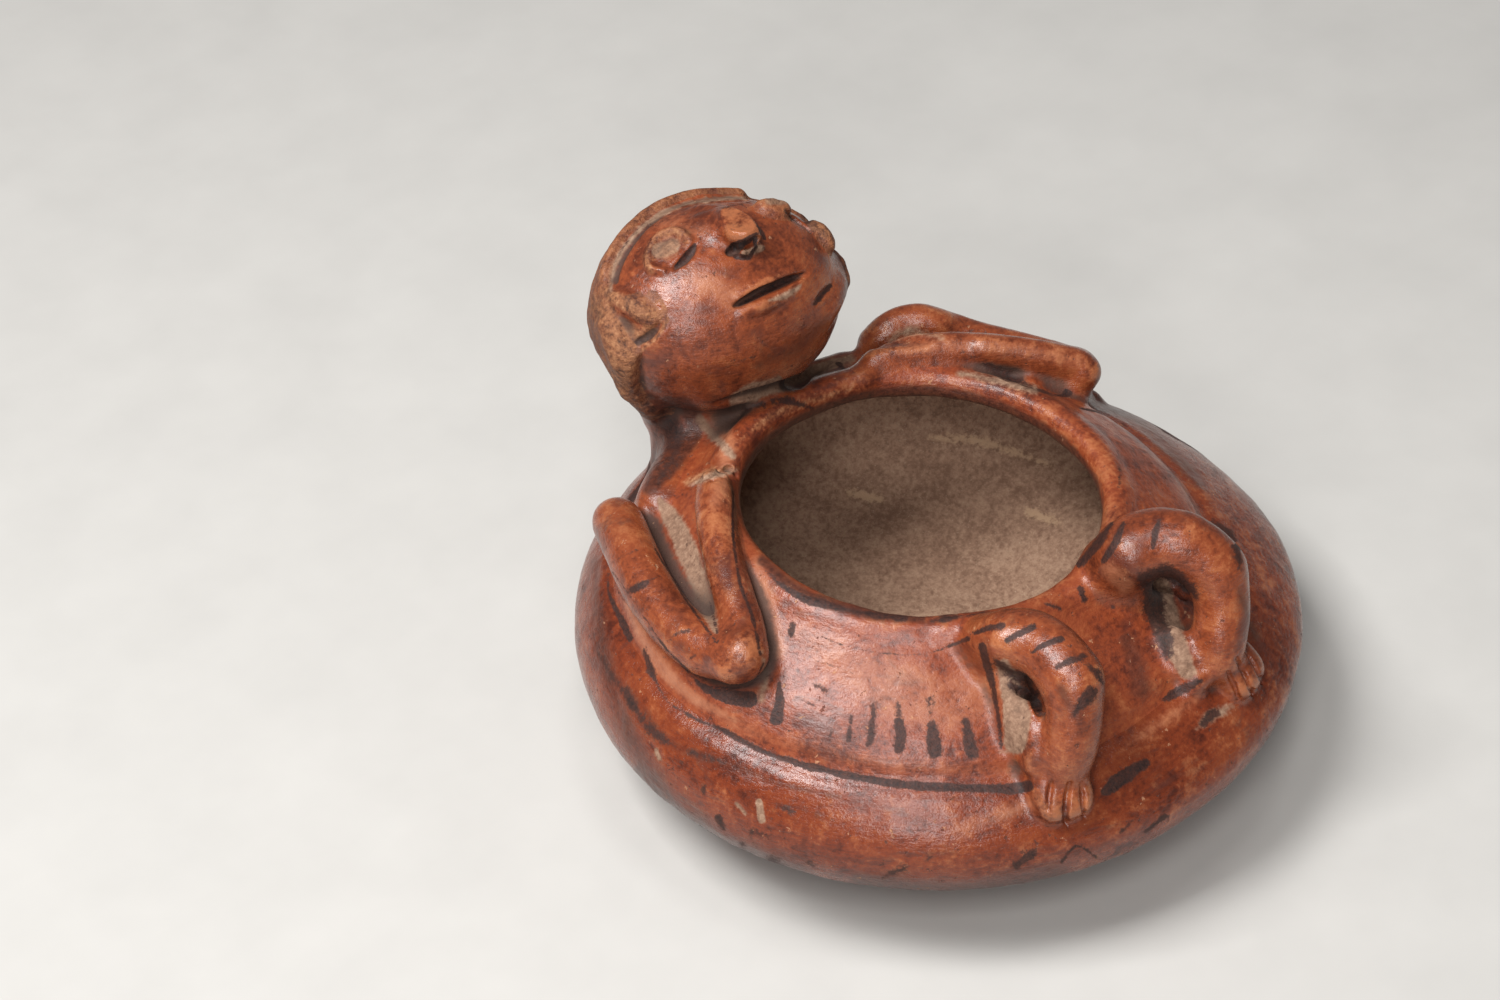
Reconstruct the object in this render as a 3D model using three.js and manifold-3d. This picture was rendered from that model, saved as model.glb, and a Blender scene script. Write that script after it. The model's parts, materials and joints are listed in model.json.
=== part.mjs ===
// A round terracotta vessel in the form of a figure that lies on its back.
// The mouth opens in the belly, the head is raised past one side of the rim, both arms are bent
// along the shoulder of the pot, and the knees stand up as two arches with the feet on its bulge.
// Each piece is one that a potter shapes alone and joins with slip: bowl, shoulder, rim coil,
// hollow head with its hair, ears, eyes and nose, neck, shoulders, arms, legs and feet.
// Millimetres, +Z up, origin under the middle of the base, +Y towards the head.
import * as THREE from "three";
import { mergeVertices } from "three/addons/utils/BufferGeometryUtils.js";
import Module from "manifold-3d";

const wasm = await Module();
wasm.setup();

// Pot: its outer outline from the base by the widest ring and the crease to the rim, and its walls
const bodyRadius = 100;
const baseRadius = 30;
const widestHeight = 38.2;
const creaseInset = 12.5;
const creaseRise = 18.4;
const shoulderWidth = 33.5;
const shoulderRise = 21.6;
const lipWidth = 5.8;
const lipRise = 2.8;
const creaseSlope = THREE.MathUtils.degToRad(50);
const rimSlope = THREE.MathUtils.degToRad(20);
const curveHandle = 12;
const wallThickness = 6.2;
const floorThickness = 8;
const rimCoilRadius = 4;

// The hand-built pot is uneven: its rim leans and sits off the middle towards one side, and its
// crease is tucked further in and up on another
const leanSlope = 0.072;
const rimShift = 4;
const leanBearing = THREE.MathUtils.degToRad(135);
const creaseTuck = 12;
const creaseTuckRise = 5.5;
const tuckBearing = THREE.MathUtils.degToRad(0);
const tuckSharpness = 1.5;

// Clearances: a slip joint between two pieces, and how far a cutting shape runs past its cut
const seam = 0.3;
const overrun = 12;

// Fineness of the round surfaces
const turnSteps = 48;
const lowerSteps = 8;
const upperSteps = 4;
const shoulderSteps = 6;
const coilSides = 10;
const coilSteps = 9;
const capSteps = 3;
const headSides = 28;
const headRings = 16;
const hollowSides = 12;
const hollowRings = 8;
const pelletSides = 10;
const pelletRings = 6;

// Head: half sizes from ear to ear, from chin to crown, and in front and behind, its wall, its
// middle to one side, past the rim and above the lip, and its turn
const headHalfWidth = 36;
const headHalfLength = 29;
const headHalfDepth = 27;
const headBackDepth = 30;
const headWall = 7;
const headOffside = -6.4;
const headOutset = 22.3;
const headRise = 27;
const headYaw = THREE.MathUtils.degToRad(-12);
const headPitch = THREE.MathUtils.degToRad(18.7);
const headRoll = THREE.MathUtils.degToRad(6);
const ventRadius = 3.2;

// Face and hair: places are shares of the half sizes of the head
const hairThickness = 2.2;
const hairlineHeight = 8;
const hairlineTilt = THREE.MathUtils.degToRad(11);
const jawlineTilt = THREE.MathUtils.degToRad(83);
const jawlineShare = -0.41;
const eyeHalfWidth = 6.4;
const eyeHalfHeight = 4.8;
const eyeHalfDepth = 3.2;
const eyeAcrossShare = 0.47;
const eyeUpShare = 0.28;
const eyeHollowShare = 0.58;
const eyeHollowLift = 0.75;
const noseHalfWidth = 4.6;
const noseHalfLength = 7.6;
const noseHalfDepth = 6.2;
const noseUpShare = 0.03;
const nostrilRadius = 1.4;
const nostrilApart = 2.1;
const nostrilDownShare = 0.8;
const nostrilForwardShare = 0.35;
const earHalfWidth = 4.4;
const earHalfHeight = 6.2;
const earHalfDepth = 3.6;
const earAcrossShare = 0.8;
const rightEarUpShare = -0.17;
const leftEarUpShare = -0.02;
const mouthHalfWidth = 12.5;
const mouthHalfHeight = 1.2;
const mouthDepth = 2.6;
const mouthAcrossShare = 0.08;
const mouthUpShare = -0.52;

// Radii of the clay coils
const neckRadius = 11.5;
const neckFootRadius = 14;
const shoulderRootRadius = 8;
const shoulderTipRadius = 7.4;
const upperArmRadius = 7.2;
const elbowRadius = 7;
const forearmRadius = 5.6;
const handRadius = 4.8;
const thighRadius = 8.4;
const leftThighRadius = 9.1;
const kneeRadius = 8.8;
const shinRadius = 7.6;
const ankleRadius = 6.8;

// Feet
const footHalfLength = 9.5;
const footHalfWidth = 8.4;
const footHalfHeight = 6;
const footRoundness = 0.62;
const footLift = 1.5;
const heelShare = 0.3;
const toeRootShare = 0.55;
const toeCount = 5;
const toeGrooveWidth = 1;
const toeGrooveDepth = 2.4;

// Places on the pot: a bearing in degrees from +X, a share of the way down the outline from the
// rim (0) by the crease (1) to the widest ring (2), or from the rim into the mouth (to -1), and
// the lift of the coil's middle off the surface, as a share of its radius, the last entry.
const neckShares = [
  [102.6, 0.86, -0.63, neckFootRadius],
  [101.9, 0.65, 0.02, neckFootRadius],
];
const rightShoulderShares = [
  [106, 0.56, -0.3, shoulderRootRadius],
  [118, 0.53, -0.35, shoulderRootRadius],
  [129, 0.55, -0.2, shoulderTipRadius],
];
const leftShoulderShares = [
  [93.7, 0.69, -0.5, shoulderRootRadius],
  [76.4, 0.72, -0.5, shoulderRootRadius],
  [62, 0.75, -0.3, shoulderRootRadius],
];
const rightUpperArmShares = [
  [137, 0.71, 0.95, shoulderTipRadius],
  [147, 0.62, 1.02, upperArmRadius],
  [158.7, 0.61, 0.95, upperArmRadius],
  [170.8, 0.62, 0.9, upperArmRadius],
  [180.4, 0.6, 0.9, upperArmRadius],
  [187, 0.51, 0.95, elbowRadius],
];
const rightForearmShares = [
  [187, 0.51, 0.95, elbowRadius],
  [183, 0.36, 1, forearmRadius],
  [173, 0.21, 1, forearmRadius],
  [159, 0.07, 0.95, forearmRadius],
  [146, 0, 0.9, forearmRadius],
  [137, -0.1, 0.9, handRadius],
];
const leftUpperArmShares = [
  [54, 0.78, 0.7, shoulderTipRadius],
  [47, 0.81, 1.4, shoulderTipRadius],
  [36.6, 0.92, 1.1, upperArmRadius],
  [23.6, 0.92, 0.97, upperArmRadius],
  [14.7, 0.9, 0.97, upperArmRadius],
  [11.5, 0.81, 1.1, elbowRadius],
];
const leftForearmShares = [
  [11.5, 0.81, 1.1, elbowRadius],
  [14.9, 0.53, 1.25, forearmRadius],
  [25, 0.27, 1.2, forearmRadius],
  [38.4, 0.12, 1.05, forearmRadius],
  [50.2, 0.07, 0.8, forearmRadius],
  [60.1, 0, 0.5, handRadius],
];
const rightThighShares = [
  [-118, 0.3, -0.5, thighRadius],
  [-116, 0.2, 0.4, thighRadius],
  [-113, 0.22, 1.15, thighRadius],
  [-110.4, 0.37, 1.9, thighRadius],
  [-109.4, 0.59, 2.12, kneeRadius],
];
const rightShinShares = [
  [-109.4, 0.59, 2.12, kneeRadius],
  [-110.7, 0.76, 2, shinRadius],
  [-112.2, 0.9, 1.35, shinRadius],
  [-113.3, 1.07, 0.76, ankleRadius],
];
const leftThighShares = [
  [-73.5, 0.25, -0.5, leftThighRadius],
  [-72.8, 0.08, 0.5, leftThighRadius],
  [-72.2, 0.11, 1.35, leftThighRadius],
  [-69.3, 0.29, 2.1, leftThighRadius],
  [-68.7, 0.59, 2.1, kneeRadius],
];
const leftShinShares = [
  [-68.7, 0.59, 2.1, kneeRadius],
  [-71.3, 0.79, 1.8, shinRadius],
  [-74.2, 0.94, 1.1, shinRadius],
  [-75.8, 1.09, 0.68, ankleRadius],
];
const rightFootBearing = THREE.MathUtils.degToRad(-114.8);
const rightFootShare = 1.2;
const leftFootBearing = THREE.MathUtils.degToRad(-73);
const leftFootShare = 1.24;

// Materials
const slipRed = new THREE.Color(0x9a4226);
const clayTan = new THREE.Color(0x9c6a3f);
const clayRoughness = 0.85;
const slipRoughness = 0.42;

// Radii and heights of the pot that follow from these sizes
const creaseRadius = bodyRadius - creaseInset;
const creaseHeight = widestHeight + creaseRise;
const rimRadius = creaseRadius - shoulderWidth;
const rimHeight = creaseHeight + shoulderRise;
const mouthRadius = rimRadius - lipWidth;
const rimTop = rimHeight + lipRise;

// Outline of the pot in three curves, each running upwards: below the widest ring, above it up to
// the crease, and the shoulder from the crease to the rim
const baseTurn = Math.acos(baseRadius / bodyRadius);
const creaseTurn = Math.acos(creaseRadius / bodyRadius);
const lowerDrop = widestHeight / Math.sin(baseTurn);
const upperRise = (creaseHeight - widestHeight) / Math.sin(creaseTurn);
const lowerCurve = new THREE.EllipseCurve(0, widestHeight, bodyRadius, lowerDrop, -baseTurn, 0);
const upperCurve = new THREE.EllipseCurve(0, widestHeight, bodyRadius, upperRise, 0, creaseTurn);
const creasePoint = new THREE.Vector2(creaseRadius, creaseHeight);
const rimPoint = new THREE.Vector2(rimRadius, rimHeight);
const shoulderCurve = new THREE.CubicBezierCurve(
  creasePoint,
  creasePoint.clone().add(inward(creaseSlope).multiplyScalar(curveHandle)),
  rimPoint.clone().sub(inward(rimSlope).multiplyScalar(curveHandle)),
  rimPoint,
);
const rimCoilCentre = new THREE.Vector2(mouthRadius + rimCoilRadius, rimTop - rimCoilRadius);

// The direction that climbs towards the axis at a slope
function inward(slope) {
  return new THREE.Vector2(-Math.cos(slope), Math.sin(slope));
}

// The direction out of the wall beside an upward direction along the outline
function outOf(along) {
  return new THREE.Vector2(along.y, -along.x);
}

// The outline moved out by a distance, or in by a negative one
function offset(points, distance) {
  return points.map((point, index) => {
    const before = points[Math.max(index - 1, 0)];
    const after = points[Math.min(index + 1, points.length - 1)];
    const along = after.clone().sub(before).normalize();
    return point.clone().add(outOf(along).multiplyScalar(distance));
  });
}

// A closed solid from a geometry whose vertices are merged and whose empty triangles are dropped
function solid(geometry) {
  geometry.deleteAttribute("normal");
  geometry.deleteAttribute("uv");
  const merged = mergeVertices(geometry);
  const corners = Array.from(merged.index.array);
  const triangles = [];
  for (let first = 0; first < corners.length; first += 3) {
    const [a, b, c] = corners.slice(first, first + 3);
    if (a !== b && b !== c && c !== a) {
      triangles.push(a, b, c);
    }
  }
  return new wasm.Manifold(new wasm.Mesh({
    numProp: 3,
    vertProperties: Float32Array.from(merged.attributes.position.array),
    triVerts: Uint32Array.from(triangles),
  }));
}

// The geometry of a closed solid
function geometryOf(shape) {
  const mesh = shape.getMesh();
  const geometry = new THREE.BufferGeometry();
  geometry.setAttribute("position", new THREE.BufferAttribute(mesh.vertProperties, mesh.numProp));
  geometry.setIndex(new THREE.BufferAttribute(mesh.triVerts, 1));
  geometry.computeVertexNormals();
  return geometry;
}

// A place of the turned outline where the hand left it: moved with the rim, and tucked in and up
// beside the crease
function handShaped(place) {
  const climb = THREE.MathUtils.clamp((place.z - widestHeight) / (rimHeight - widestHeight), 0, 1);
  const creaseClimb = (creaseHeight - widestHeight) / (rimHeight - widestHeight);
  const fromCrease = climb < creaseClimb ? climb / creaseClimb : (1 - climb) / (1 - creaseClimb);
  const towardsTuck = (1 + Math.cos(Math.atan2(place.y, place.x) - tuckBearing)) / 2;
  const tuck = THREE.MathUtils.smoothstep(fromCrease, 0, 1) * Math.pow(towardsTuck, tuckSharpness);
  const flat = new THREE.Vector3(place.x, place.y, 0);
  const leaning = new THREE.Vector3(Math.cos(leanBearing), Math.sin(leanBearing), 0);
  const rise = climb * leanSlope * flat.dot(leaning) + creaseTuckRise * tuck;
  return place.clone()
    .addScaledVector(flat.normalize(), -creaseTuck * tuck)
    .addScaledVector(leaning, climb * rimShift)
    .add(new THREE.Vector3(0, 0, rise));
}

// A ring turned about the axis of the pot and then shaped by hand
function turned(profile) {
  const geometry = new THREE.LatheGeometry(profile, turnSteps);
  geometry.rotateX(Math.PI / 2);
  const points = geometry.attributes.position;
  for (let index = 0; index < points.count; index += 1) {
    const place = handShaped(new THREE.Vector3().fromBufferAttribute(points, index));
    points.setXYZ(index, place.x, place.y, place.z);
  }
  return solid(geometry);
}

// The place at a bearing and a share of the outline, lifted off the pot by a length, and the
// directions along the outline, across it and out of the wall there
function onPot(bearing, share, lift) {
  const [curve, step] = share > 1 ? [upperCurve, 2 - share] : [shoulderCurve, Math.min(1 - share, 1)];
  const along = curve.getTangent(step);
  const pastRim = Math.max(-share, 0) * (rimRadius - mouthRadius);
  const spot = curve.getPoint(step).addScaledVector(along, pastRim);
  const turn = (flat) => new THREE.Vector3(flat.x * Math.cos(bearing), flat.x * Math.sin(bearing), flat.y);
  const out = turn(outOf(along));
  return {
    place: handShaped(turn(spot)).addScaledVector(out, lift),
    along: turn(along).negate(),
    across: new THREE.Vector3(-Math.sin(bearing), Math.cos(bearing), 0),
    out,
  };
}

// A round coil of clay through places, thicker or thinner as it goes, with round ends
function coil(places, radii, sideways, grow) {
  const path = new THREE.CatmullRomCurve3(places);
  const girth = new THREE.CatmullRomCurve3(radii.map((radius) => new THREE.Vector3(radius, 0, 0)));
  const rings = [];
  const ring = (step, ahead, share) => {
    const radius = girth.getPoint(step).x + grow;
    const along = path.getTangent(step);
    const centre = path.getPoint(step).add(along.clone().multiplyScalar(ahead * radius));
    const side = sideways.clone().projectOnPlane(along).normalize();
    rings.push({ centre, side, rise: side.clone().cross(along), reach: radius * share });
  };
  for (let index = 0; index < capSteps; index += 1) {
    const angle = (index / capSteps) * (Math.PI / 2);
    ring(0, -Math.cos(angle), Math.sin(angle));
  }
  for (let index = 0; index <= coilSteps; index += 1) {
    ring(index / coilSteps, 0, 1);
  }
  for (let index = capSteps - 1; index >= 0; index -= 1) {
    const angle = (index / capSteps) * (Math.PI / 2);
    ring(1, Math.cos(angle), Math.sin(angle));
  }
  const profile = rings.map((entry, index) => new THREE.Vector2(entry.reach, index));
  const geometry = new THREE.LatheGeometry(profile, coilSides);
  const points = geometry.attributes.position;
  for (let index = 0; index < points.count; index += 1) {
    const entry = rings[Math.round(points.getY(index))];
    const point = entry.centre.clone();
    point.addScaledVector(entry.side, points.getX(index));
    point.addScaledVector(entry.rise, points.getZ(index));
    points.setXYZ(index, point.x, point.y, point.z);
  }
  return solid(geometry);
}

// The place of one listed row
function rowPlace([degrees, share, lift, radius]) {
  return onPot(THREE.MathUtils.degToRad(degrees), share, lift * radius).place;
}

// A coil laid on the pot through its listed rows
function laidCoil(rows, sideways, grow) {
  return coil(rows.map(rowPlace), rows.map((row) => row[3]), sideways, grow);
}

// A pressed ball with three half sizes; a roundness under 1 squares it off
function ball(halves, sides, rings, roundness) {
  const geometry = new THREE.SphereGeometry(1, sides, rings);
  const points = geometry.attributes.position;
  const press = (value, half) => Math.sign(value) * Math.pow(Math.abs(value), roundness) * half;
  for (let index = 0; index < points.count; index += 1) {
    points.setXYZ(
      index,
      press(points.getX(index), halves.x),
      press(points.getY(index), halves.y),
      press(points.getZ(index), halves.z),
    );
  }
  return geometry;
}

// A straight round rod between two places
function rod(from, to, radius) {
  const reach = to.clone().sub(from);
  const geometry = new THREE.CylinderGeometry(radius, radius, reach.length(), coilSides);
  const up = new THREE.Vector3(0, 1, 0);
  geometry.applyQuaternion(new THREE.Quaternion().setFromUnitVectors(up, reach.clone().normalize()));
  const middle = from.clone().add(to).multiplyScalar(0.5);
  geometry.translate(middle.x, middle.y, middle.z);
  return solid(geometry);
}

// The main body of a trimmed shape, without any crumb that the trimming leaves beside it
function mainBody(shape) {
  const bodies = shape.decompose();
  return bodies.reduce((main, body) => (body.volume() > main.volume() ? body : main));
}

// A shape moved by a matrix
function moved(shape, matrix) {
  return shape.transform(Array.from(matrix.elements));
}

// The pot: its wall from the foot of the bowl to the rim, split by slip joints at the crease and
// under the rim coil
const bowlOutline = [...lowerCurve.getPoints(lowerSteps), ...upperCurve.getPoints(upperSteps).slice(1)];
const shoulderOutline = shoulderCurve.getPoints(shoulderSteps);
const creaseAlong = upperCurve.getTangent(1).add(shoulderCurve.getTangent(0)).normalize();
const creaseStep = creaseAlong.clone().multiplyScalar(seam / 2);
const creaseInside = creasePoint.clone().sub(outOf(creaseAlong).multiplyScalar(wallThickness));

const bowlInside = offset(bowlOutline, -wallThickness).slice(0, -1).map(
  (point) => new THREE.Vector2(point.x, Math.max(point.y, floorThickness)),
);
const bowlProfile = [
  new THREE.Vector2(0, 0),
  ...bowlOutline.slice(0, -1),
  creasePoint.clone().sub(creaseStep),
  creaseInside.clone().sub(creaseStep),
  ...bowlInside.reverse(),
  new THREE.Vector2(0, floorThickness),
];
const shoulderInside = offset(shoulderOutline, -wallThickness).slice(1);
const shoulderProfile = [
  creasePoint.clone().add(creaseStep),
  ...shoulderOutline.slice(1),
  ...shoulderInside.reverse(),
  creaseInside.clone().add(creaseStep),
  creasePoint.clone().add(creaseStep),
];

function rimCoil(grow) {
  const radius = rimCoilRadius + grow;
  return turned(
    new THREE.EllipseCurve(rimCoilCentre.x, rimCoilCentre.y, radius, radius).getPoints(coilSides),
  );
}

// The whole pot without its hollow, grown by the joint, to trim what is laid on it
const potTrim = turned([
  new THREE.Vector2(0, -seam),
  ...offset([...bowlOutline, ...shoulderOutline.slice(1)], seam),
  new THREE.Vector2(0, rimHeight + seam),
]).add(rimCoil(seam));

// The head, in a frame of its own: +X to the figure's left, +Y to its crown, +Z out of the face
const headCentre = new THREE.Vector3(headOffside, rimRadius + headOutset, rimTop + headRise);
const headTurn = new THREE.Euler(headPitch, headRoll, headYaw, "ZXY");
const headPlace = new THREE.Matrix4().makeRotationFromEuler(headTurn).setPosition(headCentre);
const headBack = headPlace.clone().invert();
const headHalves = new THREE.Vector3(headHalfWidth, headHalfLength, headHalfDepth);

// The egg of the head, grown by a length, deeper behind than in front
function headBall(grow, sides, rings) {
  const geometry = ball(headHalves.clone().addScalar(grow), sides, rings, 1);
  const points = geometry.attributes.position;
  const deeper = (headBackDepth + grow) / (headHalfDepth + grow);
  for (let index = 0; index < points.count; index += 1) {
    const depth = points.getZ(index);
    points.setZ(index, depth < 0 ? depth * deeper : depth);
  }
  return solid(geometry);
}

// The place on the front of the head at two shares of its half sizes, sunk by a length
function onFace(acrossShare, upShare, sink) {
  const front = Math.sqrt(1 - acrossShare ** 2 - upShare ** 2);
  const place = new THREE.Vector3(acrossShare, upShare, front).multiply(headHalves);
  const out = new THREE.Vector3(acrossShare, upShare, front).divide(headHalves).normalize();
  return { place: place.addScaledVector(out, -sink), out };
}

// A pellet pressed on the face, its depth axis turned to look out of the head
function pellet(halves, spot) {
  const geometry = ball(halves, pelletSides, pelletRings, 1);
  const forward = new THREE.Vector3(0, 0, 1);
  geometry.applyQuaternion(new THREE.Quaternion().setFromUnitVectors(forward, spot.out));
  geometry.translate(spot.place.x, spot.place.y, spot.place.z);
  return solid(geometry);
}

// A block whose top face is a plane over the head that tilts about the line from ear to ear
function under(height, behind, tilt) {
  const size = (headHalfWidth + overrun) * 4;
  const geometry = new THREE.BoxGeometry(size, size, size);
  geometry.translate(0, 0, -size / 2);
  geometry.rotateX(tilt);
  geometry.translate(0, behind, height);
  return solid(geometry);
}

// The neck, and the vent that lets the hollow of the head breathe into the pot
const neckWay = [...neckShares.map(rowPlace), headCentre];
const neckRadii = [...neckShares.map((row) => row[3]), neckRadius];
const neckSide = new THREE.Vector3(1, 0, 0);
const neckTrim = coil(neckWay, neckRadii, neckSide, seam);
const ventFoot = neckWay[0].clone().addScaledVector(neckWay[0].clone().sub(headCentre).normalize(), overrun);
const vent = rod(headCentre, ventFoot, ventRadius);
const headTrim = moved(headBall(seam, headSides, headRings), headPlace);

const mouthSpot = onFace(mouthAcrossShare, mouthUpShare, 0);
const mouthHalves = new THREE.Vector3(mouthHalfWidth, mouthHalfHeight, mouthDepth);
const head = headBall(0, headSides, headRings)
  .subtract(pellet(mouthHalves, mouthSpot))
  .subtract(headBall(-headWall, hollowSides, hollowRings))
  .subtract(moved(vent, headBack));

const hair = headBall(hairThickness, headSides, headRings)
  .intersect(under(hairlineHeight, 0, hairlineTilt))
  .intersect(under(0, jawlineShare * headHalfLength, jawlineTilt))
  .subtract(headBall(seam, headSides, headRings))
  .subtract(moved(neckTrim, headBack));
const hairTrim = headBall(hairThickness + seam, headSides, headRings)
  .intersect(under(hairlineHeight + seam, 0, hairlineTilt));
const headGrown = headBall(seam, headSides, headRings);

function ear(side, upShare) {
  const spot = onFace(side * earAcrossShare, upShare, 0);
  const halves = new THREE.Vector3(earHalfWidth, earHalfHeight, earHalfDepth);
  return pellet(halves, spot).subtract(headGrown).subtract(hairTrim);
}

function eye(side) {
  const spot = onFace(side * eyeAcrossShare, eyeUpShare, 0);
  const halves = new THREE.Vector3(eyeHalfWidth, eyeHalfHeight, eyeHalfDepth);
  const hollow = { place: spot.place.clone().addScaledVector(spot.out, eyeHalfDepth), out: spot.out };
  const hollowHalves = new THREE.Vector3(
    eyeHalfWidth * eyeHollowShare,
    eyeHalfHeight * eyeHollowShare,
    eyeHalfDepth * (1 - eyeHollowLift),
  );
  return pellet(halves, spot).subtract(pellet(hollowHalves, hollow)).subtract(headGrown);
}

const noseSpot = onFace(0, noseUpShare, 0);
const noseHalves = new THREE.Vector3(noseHalfWidth, noseHalfLength, noseHalfDepth);
const nostril = (side) => {
  const place = noseSpot.place.clone().add(
    new THREE.Vector3(
      side * nostrilApart,
      -noseHalfLength * nostrilDownShare,
      noseHalfDepth * nostrilForwardShare,
    ),
  );
  return pellet(new THREE.Vector3(1, 1, 1).multiplyScalar(nostrilRadius), { place, out: noseSpot.out });
};
const nose = pellet(noseHalves, noseSpot)
  .subtract(nostril(-1))
  .subtract(nostril(1))
  .subtract(headGrown);

// Neck, shoulders and limbs, each trimmed by what it is pressed onto
const upward = new THREE.Vector3(0, 0, 1);
const neck = coil(neckWay, neckRadii, neckSide, 0)
  .subtract(potTrim)
  .subtract(headTrim)
  .subtract(vent);

const hairInPlace = moved(hairTrim, headPlace);
function shoulder(rows) {
  const trimmed = laidCoil(rows, upward, 0)
    .subtract(potTrim)
    .subtract(neckTrim)
    .subtract(headTrim)
    .subtract(hairInPlace);
  return mainBody(trimmed);
}

function arm(upperRows, foreRows, shoulderRows) {
  const trimmed = laidCoil(upperRows, upward, 0)
    .add(laidCoil(foreRows, upward, 0))
    .subtract(potTrim)
    .subtract(neckTrim)
    .subtract(laidCoil(shoulderRows, upward, seam));
  return mainBody(trimmed);
}

function leg(thighRows, shinRows, grow) {
  const [kneeDegrees, kneeShare] = shinRows[0];
  const sideways = onPot(THREE.MathUtils.degToRad(kneeDegrees), kneeShare, 0).across;
  return laidCoil(thighRows, sideways, grow).add(laidCoil(shinRows, sideways, grow));
}

// A foot: a squared pad on the bulge ahead of the ankle, with grooves between the toes
function foot(bearing, share, thighRows, shinRows) {
  const spot = onPot(bearing, share, footLift);
  const frame = new THREE.Matrix4().makeBasis(spot.along, spot.out.clone().cross(spot.along), spot.out);
  frame.setPosition(spot.place);
  const halves = new THREE.Vector3(footHalfLength, footHalfWidth, footHalfHeight);
  const pad = ball(halves, pelletSides * 2, pelletRings, footRoundness);
  pad.applyMatrix4(frame);
  const heel = new THREE.BoxGeometry(footHalfLength, 2 * footHalfWidth, 2 * footHalfHeight);
  heel.translate(-footHalfLength * (heelShare + 1 / 2), 0, 0);
  heel.applyMatrix4(frame);
  let shape = solid(pad).subtract(solid(heel)).subtract(potTrim).subtract(leg(thighRows, shinRows, seam));
  const toeWidth = (2 * footHalfWidth) / toeCount;
  for (let index = 1; index < toeCount; index += 1) {
    const groove = new THREE.BoxGeometry(footHalfLength + overrun, toeGrooveWidth, toeGrooveDepth * 2);
    const reach = footHalfLength * toeRootShare + (footHalfLength + overrun) / 2;
    groove.translate(reach, index * toeWidth - footHalfWidth, footHalfHeight);
    groove.applyMatrix4(frame);
    shape = shape.subtract(solid(groove));
  }
  return mainBody(shape);
}

// The scene: the pieces of the head ride in its own group
const slip = new THREE.MeshStandardMaterial({ color: slipRed, roughness: slipRoughness, metalness: 0 });
const clay = new THREE.MeshStandardMaterial({ color: clayTan, roughness: clayRoughness, metalness: 0 });

const vessel = new THREE.Group();
const headGroup = new THREE.Group();
headGroup.position.copy(headCentre);
headGroup.rotation.copy(headTurn);
vessel.add(headGroup);

function addPiece(group, name, shape, material) {
  const mesh = new THREE.Mesh(geometryOf(shape), material.clone());
  mesh.name = name;
  group.add(mesh);
}

addPiece(vessel, "lower_bowl", turned(bowlProfile), slip);
addPiece(vessel, "shoulder_wall", turned(shoulderProfile).subtract(rimCoil(seam)).subtract(vent), slip);
addPiece(vessel, "rim_coil", rimCoil(0), slip);
addPiece(vessel, "neck", neck, slip);
addPiece(headGroup, "head", head, slip);
addPiece(headGroup, "hair_cap", hair, clay);
addPiece(headGroup, "right_ear", ear(-1, rightEarUpShare), clay);
addPiece(headGroup, "left_ear", ear(1, leftEarUpShare), clay);
addPiece(headGroup, "right_eye", eye(-1), slip);
addPiece(headGroup, "left_eye", eye(1), slip);
addPiece(headGroup, "nose", nose, slip);
addPiece(vessel, "right_shoulder", shoulder(rightShoulderShares), slip);
addPiece(vessel, "left_shoulder", shoulder(leftShoulderShares), slip);
addPiece(vessel, "right_arm", arm(rightUpperArmShares, rightForearmShares, rightShoulderShares), slip);
addPiece(vessel, "left_arm", arm(leftUpperArmShares, leftForearmShares, leftShoulderShares), slip);
addPiece(vessel, "right_leg", mainBody(leg(rightThighShares, rightShinShares, 0).subtract(potTrim)), slip);
addPiece(vessel, "left_leg", mainBody(leg(leftThighShares, leftShinShares, 0).subtract(potTrim)), slip);
const rightFoot = foot(rightFootBearing, rightFootShare, rightThighShares, rightShinShares);
const leftFoot = foot(leftFootBearing, leftFootShare, leftThighShares, leftShinShares);
addPiece(vessel, "right_foot", rightFoot, slip);
addPiece(vessel, "left_foot", leftFoot, slip);

export default vessel;
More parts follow.
